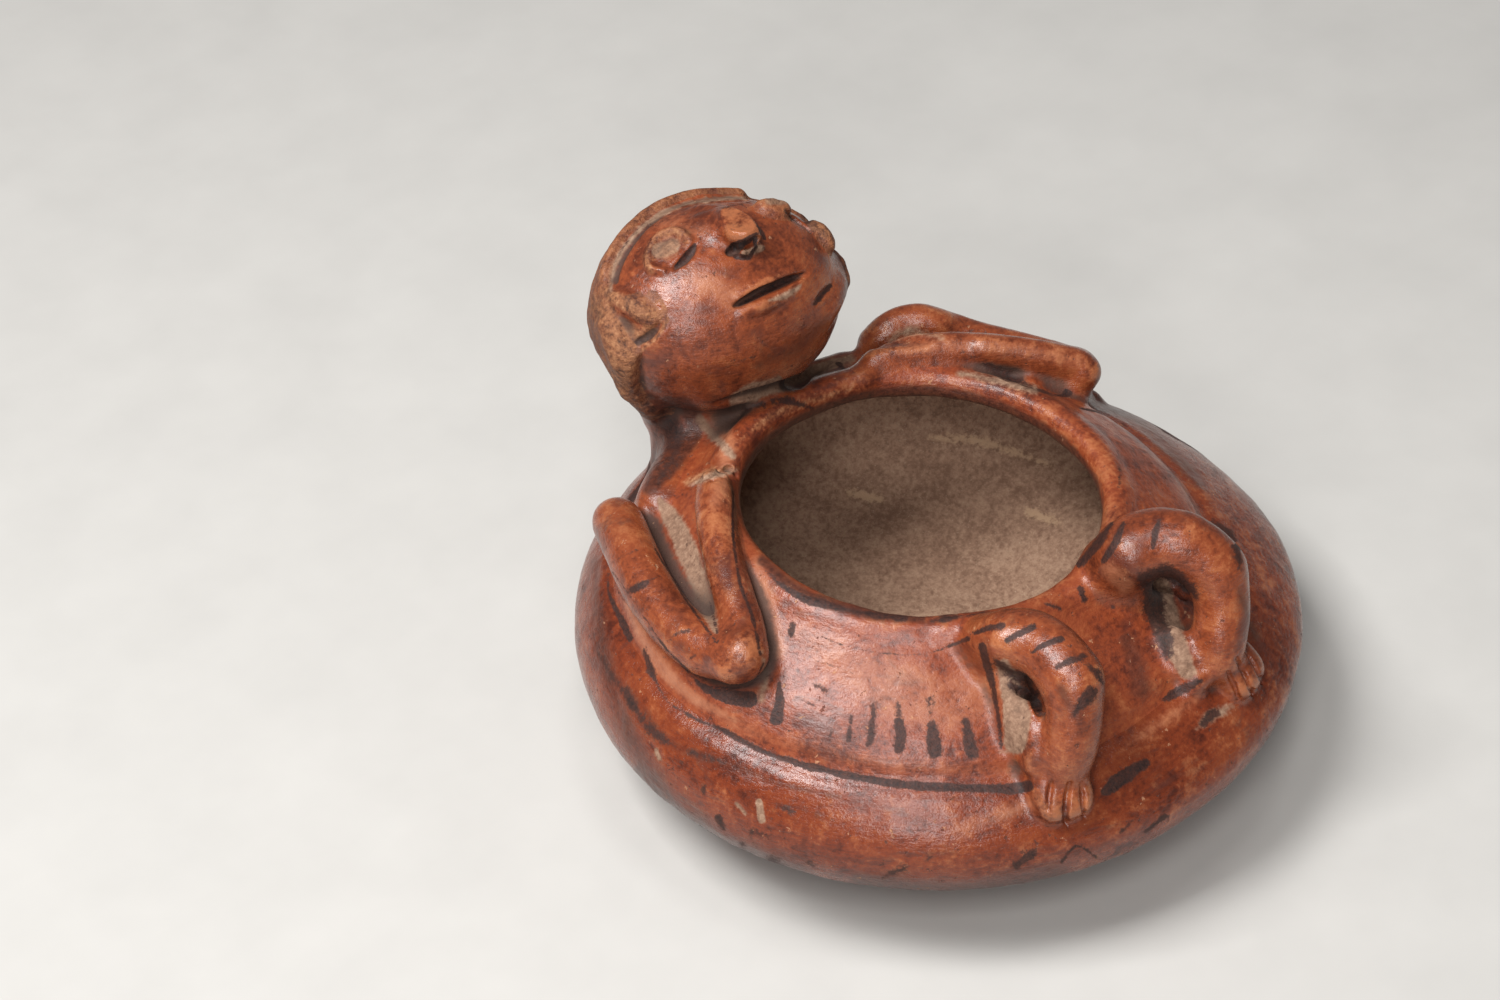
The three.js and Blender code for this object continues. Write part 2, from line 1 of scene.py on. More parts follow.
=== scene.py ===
"""A figural terracotta vessel: fired clay sculpted in volumes, then slip, paint, wear, dust, painted shade
and painted highlights.

The solids of the frame give each form its place. Here they are turned into distance volumes,
smoothed, blended into each other as wet clay is, carved, split again at the same joints and
meshed as one skin per piece. Lengths are in millimetres until a mesh is made, in metres after it.
"""
import itertools
import json
import math
import bpy
import numpy as np
import openvdb
from mathutils import Matrix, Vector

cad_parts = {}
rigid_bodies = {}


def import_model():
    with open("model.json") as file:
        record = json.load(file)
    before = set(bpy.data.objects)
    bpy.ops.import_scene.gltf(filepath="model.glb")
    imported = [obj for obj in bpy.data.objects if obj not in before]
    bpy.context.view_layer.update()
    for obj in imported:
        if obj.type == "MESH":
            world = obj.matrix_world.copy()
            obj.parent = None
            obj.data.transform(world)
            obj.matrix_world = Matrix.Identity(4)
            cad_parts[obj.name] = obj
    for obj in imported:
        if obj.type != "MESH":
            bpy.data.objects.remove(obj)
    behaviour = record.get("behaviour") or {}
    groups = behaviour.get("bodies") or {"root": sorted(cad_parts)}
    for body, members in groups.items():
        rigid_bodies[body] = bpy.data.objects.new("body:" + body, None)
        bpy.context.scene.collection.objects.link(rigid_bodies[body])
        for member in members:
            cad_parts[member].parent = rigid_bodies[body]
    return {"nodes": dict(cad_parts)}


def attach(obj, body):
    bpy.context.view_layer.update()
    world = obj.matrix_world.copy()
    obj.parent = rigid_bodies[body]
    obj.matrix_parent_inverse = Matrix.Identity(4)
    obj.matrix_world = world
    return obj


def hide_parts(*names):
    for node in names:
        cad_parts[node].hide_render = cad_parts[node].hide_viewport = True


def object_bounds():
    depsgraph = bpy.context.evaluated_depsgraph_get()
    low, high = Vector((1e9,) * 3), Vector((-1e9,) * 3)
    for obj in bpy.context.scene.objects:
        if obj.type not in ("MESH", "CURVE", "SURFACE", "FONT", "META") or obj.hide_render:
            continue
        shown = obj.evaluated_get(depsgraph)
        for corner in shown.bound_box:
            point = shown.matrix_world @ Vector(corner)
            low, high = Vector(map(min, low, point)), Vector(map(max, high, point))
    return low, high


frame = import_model()
cad_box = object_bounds()

MM = 0.001
PER_METRE = 1000
VOXEL = 0.6
BAND = 6.0
TINY = 1e-6
FAR = 1e6

# ---------------- camera of the photograph
IMAGE_W, IMAGE_H = 1500.0, 1000.0
LENS, SENSOR = 85.0, 36.0
FOCAL = LENS / SENSOR * IMAGE_W
CAM_ELEVATION = math.radians(43.5)
CAM_AZIMUTH = math.radians(-45.0)
CAM_DISTANCE = 1003.5
CAM_ORIGIN_PIXEL = (936.1, 711.9)
CAM_ROLL = math.radians(0.7)


def spun(vector, axis, angle):
    """A vector turned about an axis."""
    return (vector * math.cos(angle) + np.cross(axis, vector) * math.sin(angle)
            + axis * np.dot(axis, vector) * (1 - math.cos(angle)))


def photo_camera():
    """Place, right, up and forward of the camera, in the frame's axes and millimetres."""
    e = CAM_ELEVATION
    place = np.array([0.0, -math.cos(e), math.sin(e)]) * CAM_DISTANCE
    ahead = -place / CAM_DISTANCE
    right = np.array([1.0, 0.0, 0.0])
    up = np.cross(right, ahead)
    yaw = math.atan((CAM_ORIGIN_PIXEL[0] - IMAGE_W / 2) / FOCAL)
    pitch = math.atan((CAM_ORIGIN_PIXEL[1] - IMAGE_H / 2) / FOCAL)
    ahead, right = spun(ahead, up, yaw), spun(right, up, yaw)
    ahead, up = spun(ahead, right, pitch), spun(up, right, pitch)
    right, up = spun(right, ahead, CAM_ROLL), spun(up, ahead, CAM_ROLL)
    upward = np.array([0.0, 0.0, 1.0])
    return [spun(v, upward, CAM_AZIMUTH) for v in (place, right, up, ahead)]


CAM_PLACE, CAM_RIGHT, CAM_UP, CAM_AHEAD = photo_camera()


def pixel_of(points):
    """Photo pixels of points."""
    reach = points - CAM_PLACE
    depth = reach @ CAM_AHEAD
    return np.stack([IMAGE_W / 2 + FOCAL * (reach @ CAM_RIGHT) / depth,
                     IMAGE_H / 2 - FOCAL * (reach @ CAM_UP) / depth], -1)


def rays(pixels):
    """Directions from the camera through photo pixels."""
    pixels = np.atleast_2d(np.asarray(pixels, float))
    aim = (CAM_AHEAD + CAM_RIGHT * ((pixels[:, :1] - IMAGE_W / 2) / FOCAL)
           + CAM_UP * ((IMAGE_H / 2 - pixels[:, 1:2]) / FOCAL))
    return aim / np.linalg.norm(aim, axis=1, keepdims=True)


# ---------------- the shared volume
LOW = np.array([c * PER_METRE for c in cad_box[0]])
HIGH = np.array([c * PER_METRE for c in cad_box[1]])
FIRST = np.floor((LOW - BAND) / VOXEL).astype(int)
LAST = np.ceil((HIGH + BAND) / VOXEL).astype(int)
SIZE = LAST - FIRST + 1
GRID = openvdb.createLinearTransform(VOXEL)


class Box:
    """A block of the shared volume, from one voxel to another."""

    def __init__(self, first, last):
        self.first = np.maximum(np.asarray(first, int), FIRST)
        self.last = np.minimum(np.asarray(last, int), LAST)
        self.size = self.last - self.first + 1

    def cut(self):
        """The block's slices of the whole volume."""
        a = self.first - FIRST
        b = a + self.size
        return slice(a[0], b[0]), slice(a[1], b[1]), slice(a[2], b[2])

    def axes(self):
        """Coordinates along each axis, ready to broadcast."""
        x, y, z = [np.arange(self.first[i], self.last[i] + 1, dtype=np.float32) * VOXEL
                   for i in range(3)]
        return x[:, None, None], y[None, :, None], z[None, None, :]


WHOLE = Box(FIRST, LAST)


def around(points, margin):
    """The block round points."""
    return Box(np.floor((points.min(0) - margin) / VOXEL), np.ceil((points.max(0) + margin) / VOXEL))


def volume_of(points, triangles, box, band=BAND):
    """Distance to a closed mesh, inside a block of the volume."""
    grid = openvdb.FloatGrid.createLevelSetFromPolygons(
        np.ascontiguousarray(points, np.float32),
        triangles=np.ascontiguousarray(triangles, np.uint32),
        transform=GRID, halfWidth=math.ceil(band / VOXEL) + 1)
    values = np.zeros(tuple(box.size), np.float32)
    grid.copyToArray(values, ijk=tuple(int(c) for c in box.first))
    return values


def soft_min(a, b, k):
    """The union of two distances, with a fillet of width k."""
    blend = np.maximum(k - np.abs(a - b), 0) / k
    return np.minimum(a, b) - blend * blend * (k / 4)


def soft_max(a, b, k):
    """What two distances have in common, with a fillet of width k."""
    return -soft_min(-a, -b, k)


BLUR_REACH, LAST_CELL = 2.5, 1.001


def blurred(values, sigma, voxel=VOXEL):
    """Gaussian blur of a block, sigma in millimetres."""
    s = sigma / voxel
    reach = max(1, int(math.ceil(BLUR_REACH * s)))
    taps = np.exp(-0.5 * (np.arange(-reach, reach + 1) / s) ** 2)
    taps = (taps / taps.sum()).astype(np.float32)
    for axis in range(3):
        margins = [(reach, reach) if i == axis else (0, 0) for i in range(3)]
        padded = np.pad(values, margins, mode="edge")
        total = np.zeros_like(values)
        for index, tap in enumerate(taps):
            part = [slice(None)] * 3
            part[axis] = slice(index, index + values.shape[axis])
            total += tap * padded[tuple(part)]
        values = total
    return values


def between_cells(values, cell, part):
    """Trilinear samples of a block, each at a part of the way from its cell to the next ones."""
    share = [[1 - part[:, k], part[:, k]] for k in range(3)]
    near = [[(cell[:, k] + step) % values.shape[k] for step in (0, 1)] for k in range(3)]
    out = np.zeros(len(cell), np.float32)
    for a, b, c in itertools.product((0, 1), repeat=3):
        out += share[0][a] * share[1][b] * share[2][c] * values[near[0][a], near[1][b], near[2][c]]
    return out


def sampled(values, points, first=FIRST):
    """Samples at points of a volume that starts at a voxel."""
    q = np.asarray(points, np.float32) / VOXEL - first
    q = np.clip(q, 0, np.array(values.shape) - LAST_CELL)
    cell = q.astype(int)
    return between_cells(values, cell, (q - cell).astype(np.float32))


LATTICE_SIDE, LATTICE_SEED = 40, 5
LATTICE = np.random.default_rng(LATTICE_SEED).random((LATTICE_SIDE,) * 3).astype(np.float32)
TILTED = np.array(Matrix.Rotation(0.6, 3, (1, 2, 3)))


def lumps(points, size, place=0.0):
    """Smooth noise from 0 to 1 at points; size is the width of its lumps."""
    q = (points @ TILTED / size + place).astype(np.float32)
    cell = np.floor(q).astype(np.int32)
    f = q - cell
    return between_cells(LATTICE, cell, f * f * (3 - 2 * f))


def rough_with(points, *kinds):
    """The sum of kinds of lumps, each with its height and then its width and place."""
    return sum(height * lumps(points, *kind) for height, *kind in kinds)


def node_mesh(name):
    """Points, in millimetres, and triangles of a node of the frame."""
    mesh = bpy.data.objects[name].data
    mesh.calc_loop_triangles()
    points = np.empty(len(mesh.vertices) * 3, np.float32)
    mesh.vertices.foreach_get("co", points)
    triangles = np.empty(len(mesh.loop_triangles) * 3, np.int32)
    mesh.loop_triangles.foreach_get("vertices", triangles)
    return points.reshape(-1, 3) * PER_METRE, triangles.reshape(-1, 3)


# ---------------- distances to the solids
NODES = list(frame["nodes"])
WIDE_BAND = 11.0
WIDE = {"neck", "right_leg", "left_leg", "right_arm", "left_arm", "right_shoulder", "left_shoulder"}
blocks, nearness = {}, {}
for name in NODES:
    points, triangles = node_mesh(name)
    band = WIDE_BAND if name in WIDE else BAND
    blocks[name] = around(points, band + 1)
    nearness[name] = volume_of(points, triangles, blocks[name], band)

nearest = np.full(tuple(SIZE), BAND, np.float32)
second = nearest.copy()
owner = np.full(tuple(SIZE), -1, np.int8)
for index, name in enumerate(NODES):
    cut = blocks[name].cut()
    d = nearness[name]
    closer = d < nearest[cut]
    second[cut] = np.where(closer, nearest[cut], np.minimum(second[cut], d))
    nearest[cut] = np.where(closer, d, nearest[cut])
    owner[cut] = np.where(closer, index, owner[cut])

# ---------------- the pot, smooth and hand-shaped
BODY_RADIUS, BASE_RADIUS, WIDEST = 100.0, 30.0, 38.2
CREASE_RADIUS, CREASE_HEIGHT = 87.5, 56.6
RIM_RADIUS, RIM_HEIGHT = 54.0, 78.2
CREASE_SLOPE, RIM_SLOPE, HANDLE = math.radians(50), math.radians(20), 12.0
WALL, FLOOR = 6.2, 8.0
COIL_RADIUS, COIL_CENTRE = 4.0, (52.2, 77.0)
LIP_REACH, LIP_SWELL = 16.0, 2.3
VALLEY, VALLEY_RADIUS, VALLEY_HEIGHT = 2.2, 88.6, 58.6
LEAN, RIM_SHIFT, LEAN_BEARING = 0.072, 4.0, math.radians(135)
TUCK, TUCK_RISE, TUCK_SHARP = 12.0, 5.5, 1.5
LOWER_STEPS, UPPER_STEPS, SHOULDER_STEPS, SIDES, RING_STEPS = 60, 26, 40, 240, 24
AXIS, ABOVE, FLOOR_RADIUS = 0.01, 110.0, 20
WALL_FILLET, LIP_FILLET, VALLEY_FILLET = 2.5, 4.0, 3.5


def hand_shaped(points):
    """Points of the turned form, leaned, shifted and tucked in at the crease."""
    x, y, z = points.T
    climb = np.clip((z - WIDEST) / (RIM_HEIGHT - WIDEST), 0, 1)
    crease = (CREASE_HEIGHT - WIDEST) / (RIM_HEIGHT - WIDEST)
    from_crease = np.where(climb < crease, climb / crease, (1 - climb) / (1 - crease))
    tuck = from_crease ** 2 * (3 - 2 * from_crease) * ((1 + np.cos(np.arctan2(y, x))) / 2) ** TUCK_SHARP
    r = np.maximum(np.hypot(x, y), TINY)
    keep = np.maximum(r - TUCK * tuck, 0) / r
    lean = np.array([math.cos(LEAN_BEARING), math.sin(LEAN_BEARING)])
    return np.stack([x * keep + climb * RIM_SHIFT * lean[0], y * keep + climb * RIM_SHIFT * lean[1],
                     z + TUCK_RISE * tuck + climb * LEAN * (x * lean[0] + y * lean[1])], -1)


def pot_outline():
    """Radius and height up the outside, from the base to the rim."""
    base_turn = math.acos(BASE_RADIUS / BODY_RADIUS)
    crease_turn = math.acos(CREASE_RADIUS / BODY_RADIUS)
    drop = WIDEST / math.sin(base_turn)
    rise = (CREASE_HEIGHT - WIDEST) / math.sin(crease_turn)
    a = np.linspace(-base_turn, 0, LOWER_STEPS)
    lower = np.stack([BODY_RADIUS * np.cos(a), WIDEST + drop * np.sin(a)], -1)
    a = np.linspace(0, crease_turn, UPPER_STEPS)[1:]
    upper = np.stack([BODY_RADIUS * np.cos(a), WIDEST + rise * np.sin(a)], -1)
    p0, p3 = np.array([CREASE_RADIUS, CREASE_HEIGHT]), np.array([RIM_RADIUS, RIM_HEIGHT])
    p1 = p0 + HANDLE * np.array([-math.cos(CREASE_SLOPE), math.sin(CREASE_SLOPE)])
    p2 = p3 - HANDLE * np.array([-math.cos(RIM_SLOPE), math.sin(RIM_SLOPE)])
    t = np.linspace(0, 1, SHOULDER_STEPS)[1:, None]
    shoulder = (1 - t) ** 3 * p0 + 3 * (1 - t) ** 2 * t * p1 + 3 * (1 - t) * t * t * p2 + t ** 3 * p3
    near_lip = np.clip((RIM_RADIUS + LIP_REACH - shoulder[:, 0]) / LIP_REACH, 0, 1)
    shoulder[:, 1] += LIP_SWELL * near_lip ** 2 * (3 - 2 * near_lip)
    return np.concatenate([lower, upper, shoulder])


def inset(outline, distance):
    """An outline moved inwards."""
    along = np.gradient(outline, axis=0)
    along /= np.linalg.norm(along, axis=1, keepdims=True)
    return outline - distance * np.stack([along[:, 1], -along[:, 0]], -1)


def turned(profile, closed=False, sides=SIDES):
    """A lathe mesh of a profile from axis to axis, or of a closed one, shaped by hand."""
    profile = np.asarray(profile, float)
    a = np.linspace(0, 2 * math.pi, sides, endpoint=False)
    rings = np.stack([profile[:, :1] * np.cos(a), profile[:, :1] * np.sin(a),
                      np.repeat(profile[:, 1:], sides, 1)], -1)
    count = len(profile)
    index = np.arange(count * sides).reshape(count, sides)
    rows = range(count if closed else count - 1)
    triangles = []
    for row in rows:
        p, q = index[row], index[(row + 1) % count]
        p2, q2 = np.roll(p, -1), np.roll(q, -1)
        triangles += [np.stack([p, p2, q2], -1), np.stack([p, q2, q], -1)]
    return hand_shaped(rings.reshape(-1, 3)), np.concatenate(triangles)


def ring_around(radius, height, thick):
    """Distance to a ring of clay round the pot, and its block."""
    turn = np.linspace(0, 2 * math.pi, RING_STEPS, endpoint=False)
    mesh = turned(np.stack([radius + thick * np.cos(turn), height + thick * np.sin(turn)], -1), closed=True)
    box = around(mesh[0], BAND)
    return volume_of(*mesh, box), box.cut()


outline = pot_outline()
outside = np.concatenate([[[AXIS, 0]], outline, [[AXIS, outline[-1][1]]]])
hollow = inset(outline, WALL)
hollow[:, 1] = np.maximum(hollow[:, 1], FLOOR)
hollow = hollow[hollow[:, 0] > FLOOR_RADIUS]
hollow = np.concatenate([[[AXIS, FLOOR]], hollow, [[hollow[-1][0], ABOVE], [AXIS, ABOVE]]])
outer = volume_of(*turned(outside), WHOLE)
inner = volume_of(*turned(hollow), WHOLE)
clay = soft_max(outer, -inner, WALL_FILLET)
ring, cut = ring_around(*COIL_CENTRE, COIL_RADIUS)
clay[cut] = soft_min(clay[cut], ring, LIP_FILLET)
ring, cut = ring_around(VALLEY_RADIUS, VALLEY_HEIGHT, VALLEY)
clay[cut] = soft_max(clay[cut], -ring, VALLEY_FILLET)

# ---------------- head, in a frame of its own
HEAD_HALF = np.array([36.0, 29.0, 27.0], np.float32)
HEAD_BACK = 30.0
HEAD_CENTRE = np.array([-6.4, 76.3, 108.0])
HEAD_SPIN, HEAD_PITCH, HEAD_LEAN = math.radians(-12), math.radians(18.7), math.radians(6)
HEAD_TURN = np.array(Matrix.Rotation(HEAD_SPIN, 3, "Z") @ Matrix.Rotation(HEAD_PITCH, 3, "X")
                     @ Matrix.Rotation(HEAD_LEAN, 3, "Y"))
HAIR = 2.2
HAIRLINE, HAIRLINE_TILT = 8.0, math.radians(11)
JAWLINE, JAWLINE_TILT = -11.9, math.radians(83)
HEAD_FILLET, HAIR_EDGE, HAIR_FILLET = 4.0, 1.0, 1.2
ROUGH_REACH, ROUGH_FINE, ROUGH_WIDE, ROUGH_LOWER = 2.5, (0.6, 2.6), (0.7, 9.0, 3.0), 0.45


def in_head(box):
    """Coordinates of a block along the axes of the head."""
    x, y, z = box.axes()
    x, y, z = x - HEAD_CENTRE[0], y - HEAD_CENTRE[1], z - HEAD_CENTRE[2]
    t = HEAD_TURN.astype(np.float32)
    return [t[0, i] * x + t[1, i] * y + t[2, i] * z for i in range(3)]


def egg(u, v, w, grow):
    """Distance to the egg of the head, grown by a length."""
    half = HEAD_HALF + grow
    depth = np.where(w < 0, HEAD_BACK + grow, half[2])
    k0 = np.sqrt((u / half[0]) ** 2 + (v / half[1]) ** 2 + (w / depth) ** 2)
    k1 = np.sqrt((u / half[0] ** 2) ** 2 + (v / half[1] ** 2) ** 2 + (w / depth ** 2) ** 2)
    return (k0 * (k0 - 1) / np.maximum(k1, 1e-5)).astype(np.float32)


def add_coil(name, fillet, blur, regain, root=None):
    """Blend a coil of clay into the form, more broadly around its root."""
    box = blocks[name]
    cut = box.cut()
    form = blurred(nearness[name], blur) - regain
    if root:
        x, y, z = box.axes()
        away = np.sqrt((x - root[0]) ** 2 + (y - root[1]) ** 2 + (z - root[2]) ** 2)
        near = np.clip(1 - away / ROOT_REACH, 0, 1)
        fillet = (fillet + (ROOT_FILLET - fillet) * near * near * (3 - 2 * near)).astype(np.float32)
    clay[cut] = soft_min(clay[cut], form, fillet)


# fillet, blur, clay given back after the blur, and the root of a thigh
ROOT_FILLET, ROOT_REACH = 10.0, 20.0
LIMBS = {
    "right_shoulder": (6.0, 1.8, 0.3),
    "left_shoulder": (4.0, 1.8, 0.3),
    "neck": (6.0, 1.8, 0.3),
    "right_arm": (2.4, 1.8, 0.45),
    "left_arm": (3.0, 2.6, 0.7),
    "right_leg": (2.6, 1.8, 0.4, (-24.0, -46.0, 74.0)),
    "left_leg": (2.6, 1.8, 0.4, (15.0, -49.0, 74.0)),
    "right_foot": (2.4, 1.0, 0.15),
    "left_foot": (2.4, 1.0, 0.15),
}
PELLETS = {
    "left_ear": (1.6, 0.6, 0.1),
    "left_eye": (1.6, 0.6, 0.1),
    "nose": (1.6, 0.6, 0.1),
    "right_eye": (1.2, 1.2, -0.8),
}
for name, values in LIMBS.items():
    add_coil(name, *values)

head_box = Box(np.minimum(blocks["head"].first, blocks["hair_cap"].first),
               np.maximum(blocks["head"].last, blocks["hair_cap"].last))
cut = head_box.cut()
u, v, w = in_head(head_box)
clay[cut] = soft_min(clay[cut], egg(u, v, w, 0), HEAD_FILLET)
hairline = (w - HAIRLINE) * math.cos(HAIRLINE_TILT) - v * math.sin(HAIRLINE_TILT)
jawline = w * math.cos(JAWLINE_TILT) - (v - JAWLINE) * math.sin(JAWLINE_TILT)
hair = soft_max(soft_max(egg(u, v, w, HAIR), hairline, HAIR_EDGE), jawline, HAIR_EDGE)
band = np.abs(hair) < ROUGH_REACH
spots = np.argwhere(band) * VOXEL + head_box.first * VOXEL
hair[band] += rough_with(spots, ROUGH_FINE, ROUGH_WIDE) - ROUGH_LOWER
clay[cut] = soft_min(clay[cut], hair.astype(np.float32), HAIR_FILLET)
for name, values in PELLETS.items():
    add_coil(name, *values)


# ---------------- hand work, placed by the photo
RAY_START, RAY_END, RAY_STEP, SLOPE_STEP = 820.0, 1240.0, 0.75, 1.2
WORK_STEP, THINNEST = 5.0, 0.2


def surface(pixels):
    """Where the camera's rays through photo pixels first meet the clay, and its normals there."""
    aim = rays(pixels)
    steps = np.arange(RAY_START, RAY_END, RAY_STEP)
    spots = CAM_PLACE + aim[:, None, :] * steps[None, :, None]
    depth = sampled(clay, spots.reshape(-1, 3)).reshape(len(aim), -1)
    inside = depth < 0
    first = np.where(inside.any(1), inside.argmax(1), depth.argmin(1))
    before = np.maximum(first - 1, 0)
    rows = np.arange(len(aim))
    d0, d1 = depth[rows, before], depth[rows, first]
    share = np.where(d0 > d1, np.clip(d0 / np.maximum(d0 - d1, TINY), 0, 1), 0)
    reach = steps[before] + share * RAY_STEP
    points = CAM_PLACE + aim * reach[:, None]
    return points, slopes(points)


def slopes(points):
    """Unit normals of the clay at points."""
    out = np.zeros_like(points)
    for axis, shift in enumerate(np.eye(3) * SLOPE_STEP):
        out[:, axis] = sampled(clay, points + shift) - sampled(clay, points - shift)
    return out / np.maximum(np.linalg.norm(out, axis=1, keepdims=True), TINY)


def smooth_line(rows, step):
    """A smooth line through rows, with its last columns carried along, in steps of pixels."""
    rows = np.asarray(rows, float)
    if len(rows) < 2:
        return rows
    ends = np.concatenate([[2 * rows[0] - rows[1]], rows, [2 * rows[-1] - rows[-2]]])
    out = []
    for i in range(len(rows) - 1):
        p0, p1, p2, p3 = ends[i:i + 4]
        count = max(1, int(round(np.linalg.norm((p2 - p1)[:2]) / step)))
        t = np.linspace(0, 1, count, endpoint=False)[:, None]
        out.append(0.5 * (2 * p1 + (p2 - p0) * t + (2 * p0 - 5 * p1 + 4 * p2 - p3) * t ** 2
                          + (3 * p1 - p0 - 3 * p2 + p3) * t ** 3))
    return np.concatenate(out + [rows[-1:]])


def tube(box, points, radii, normals, deep):
    """Distance to a tube along points; deep stretches it along the normals of the surface."""
    x, y, z = box.axes()
    best = np.full(tuple(box.size), FAR, np.float32)
    if len(points) == 1:
        points, radii, normals = (np.repeat(v, 2, 0) for v in (points, radii, normals))
    for a, b, ra, rb, n in zip(points[:-1], points[1:], radii[:-1], radii[1:], normals[:-1]):
        along = b - a
        q = [x - a[0], y - a[1], z - a[2]]
        reach = q[0] * along[0] + q[1] * along[1] + q[2] * along[2]
        t = np.clip(reach / max(along @ along, TINY), 0, 1)
        q = [q[i] - t * along[i] for i in range(3)]
        rise = (q[0] * n[0] + q[1] * n[1] + q[2] * n[2]) * (1 / deep - 1)
        q = [q[i] + rise * n[i] for i in range(3)]
        d = np.sqrt(q[0] ** 2 + q[1] ** 2 + q[2] ** 2) - (ra + (rb - ra) * t)
        best = np.minimum(best, d)
    return best


def worked(rows, lift, deep, fillet, remove):
    """Add or remove a tube of clay along photo pixels."""
    line = smooth_line(rows, WORK_STEP)
    points, normals = surface(line[:, :2])
    radii = np.maximum(line[:, 2], THINNEST)
    points = points + normals * lift
    box = around(points, radii.max() * max(deep, 1) + fillet + 1)
    cut = box.cut()
    form = tube(box, points, radii, normals, deep).astype(np.float32)
    clay[cut] = soft_max(clay[cut], -form, fillet) if remove else soft_min(clay[cut], form, fillet)


def carve(rows, deep=1.0, lift=0.0, fillet=0.5):
    """Press a groove or pit along photo pixels; the third number is its half width."""
    worked(rows, lift, deep, fillet, True)


def add(rows, lift=0.0, deep=1.0, fillet=1.2):
    """Lay a ridge or lump of clay along photo pixels; the third number is its half width."""
    worked(rows, lift, deep, fillet, False)


# hair: a fringe band round the face, an ear flap and the nape
add([(607, 268, 1.6), (620, 244, 2.2), (640, 221, 2.4), (666, 203, 2.4), (700, 194, 2.4), (738, 192, 2.0)],
    -0.9, 1.0, 3.0)
carve([(615, 290, .5), (619, 266, .8), (633, 242, .9), (654, 221, .9), (682, 207, .9), (713, 201, .8),
       (746, 199, .6)], 0.9)
carve([(606, 272, .4), (617, 249, .45), (632, 229, .45), (652, 212, .4)], 1.2)
add([(612, 294, 2.6), (628, 304, 3.4), (642, 313, 3.2), (651, 319, 2.2)], -0.9, 1.0, 1.6)
add([(606, 330, 4.0), (618, 360, 4.5), (622, 388, 3.0)], -2.6, 1.0, 3.0)
add([(630, 397, 3.5), (644, 408, 4.0), (654, 422, 3.0)], -2.2, 1.0, 4.0)
carve([(664, 319, .4), (657, 329, .9), (648, 337, 1.2), (638, 342, .8)], 0.9)
add([(668, 319, .8), (663, 331, 1.0), (654, 342, 1.0), (644, 350, .7)], -0.35)
carve([(643, 351, .4), (640, 372, .55), (642, 388, .45), (632, 401, .3)], 0.9)
# near eye: a raised ring open below, a flat ball and a deep lid line
add([(664, 271, 1.0), (652, 269, 1.4), (648, 261, 1.5), (651, 248, 1.5), (659, 237, 1.5), (671, 232, 1.5),
     (683, 234, 1.4), (690, 241, 1.0)], 0.2)
add([(661, 254, 2.4), (671, 246, 2.4)], -1.9, 0.7)
carve([(674, 267, .6), (682, 261, 1.0), (690, 252, 1.1), (695, 245, .6)], 1.6)
add([(760, 201, 1.6), (772, 200, 2.0), (785, 203, 1.8)], -1.4, 1.0, 1.6)
# far eye and ear
carve([(788, 211, .8), (799, 221, 1.4), (811, 230, 1.0)], 1.5)
add([(838, 262, 2.2), (842, 280, 2.8), (838, 300, 2.8), (829, 318, 2.2)], -1.6, 1.0, 4.0)
# nose: a bridge, the hollow under the tip and crumbs in the nostrils
add([(700, 208, 1.6), (716, 211, 2.8), (732, 219, 3.6), (746, 229, 3.8)], -1.6, 1.0, 3.0)
add([(735, 232, 3.4), (754, 236, 2.8)], -1.4, 1.0, 2.0)
add([(704, 222, 3.0), (716, 233, 3.2)], -1.6, 1.0, 4.0)
carve([(729, 252, .8), (737, 249, 1.6), (748, 247, 1.8), (758, 242, 1.2)], 2.0)
add([(744, 253, 1.3)], 0.5, 1.0, 0.4)
add([(760, 247, 1.2)], 0.2, 1.0, 0.4)
# mouth and lips
add([(742, 314, 1.6), (765, 306, 2.2), (790, 294, 1.6)], -1.0)
add([(740, 296, 1.2), (762, 285, 1.8), (792, 272, 1.3)], -1.0)
carve([(735, 306, .5), (743, 302, .9), (757, 295, 1.2), (775, 287, 1.2), (793, 279, 1.0), (803, 275, .7),
       (809, 272, .3)], 2.8)
carve([(833, 284, .4), (827, 291, .9), (820, 299, .9), (815, 305, .4)], 0.9)
# broken end of the right hand
carve([(687, 487, .5), (700, 478, .7), (715, 471, .9), (730, 466, .9), (738, 470, .5)], 0.8)
for crumb in ((693, 484, .7), (705, 476, 1.0), (713, 478, .8), (721, 472, 1.5), (729, 468, 1.1),
              (738, 474, 1.0)):
    carve([crumb], 1.2)
# broad forms: the elbow, the far arm, the fans of the thighs and the webs under the knees
add([(728, 668, 4.0), (744, 652, 4.0)], -1.8, 1.0, 5.0)
carve([(722, 404, 1.5), (745, 399, 3.0), (770, 392, 3.6), (795, 381, 3.0), (818, 366, 2.0)], 1.0, 0.6, 2.0)
add([(728, 446, 2.5), (752, 426, 3.4), (785, 408, 3.6), (825, 395, 3.0), (862, 382, 2.5)], -1.6, 1.0, 4.0)
add([(866, 338, 3.0), (880, 328, 4.0), (897, 318, 4.2), (915, 315, 4.2), (940, 323, 3.8)], -2.2, 1.0, 4.0)
add([(985, 345, 3.0), (1030, 350, 3.6), (1075, 360, 4.0), (1088, 372, 4.5)], -1.5, 1.0, 3.0)
add([(1030, 384, 2.5), (1062, 390, 3.5), (1090, 398, 3.5)], -1.0, 1.0, 4.0)
carve([(880, 344, 1.5), (900, 338, 3.0), (922, 338, 2.0)], 0.7, 0.4, 2.5)
add([(950, 630, 1.5), (975, 632, 4.0), (1000, 640, 5.5)], -2.0, 1.0, 6.0)
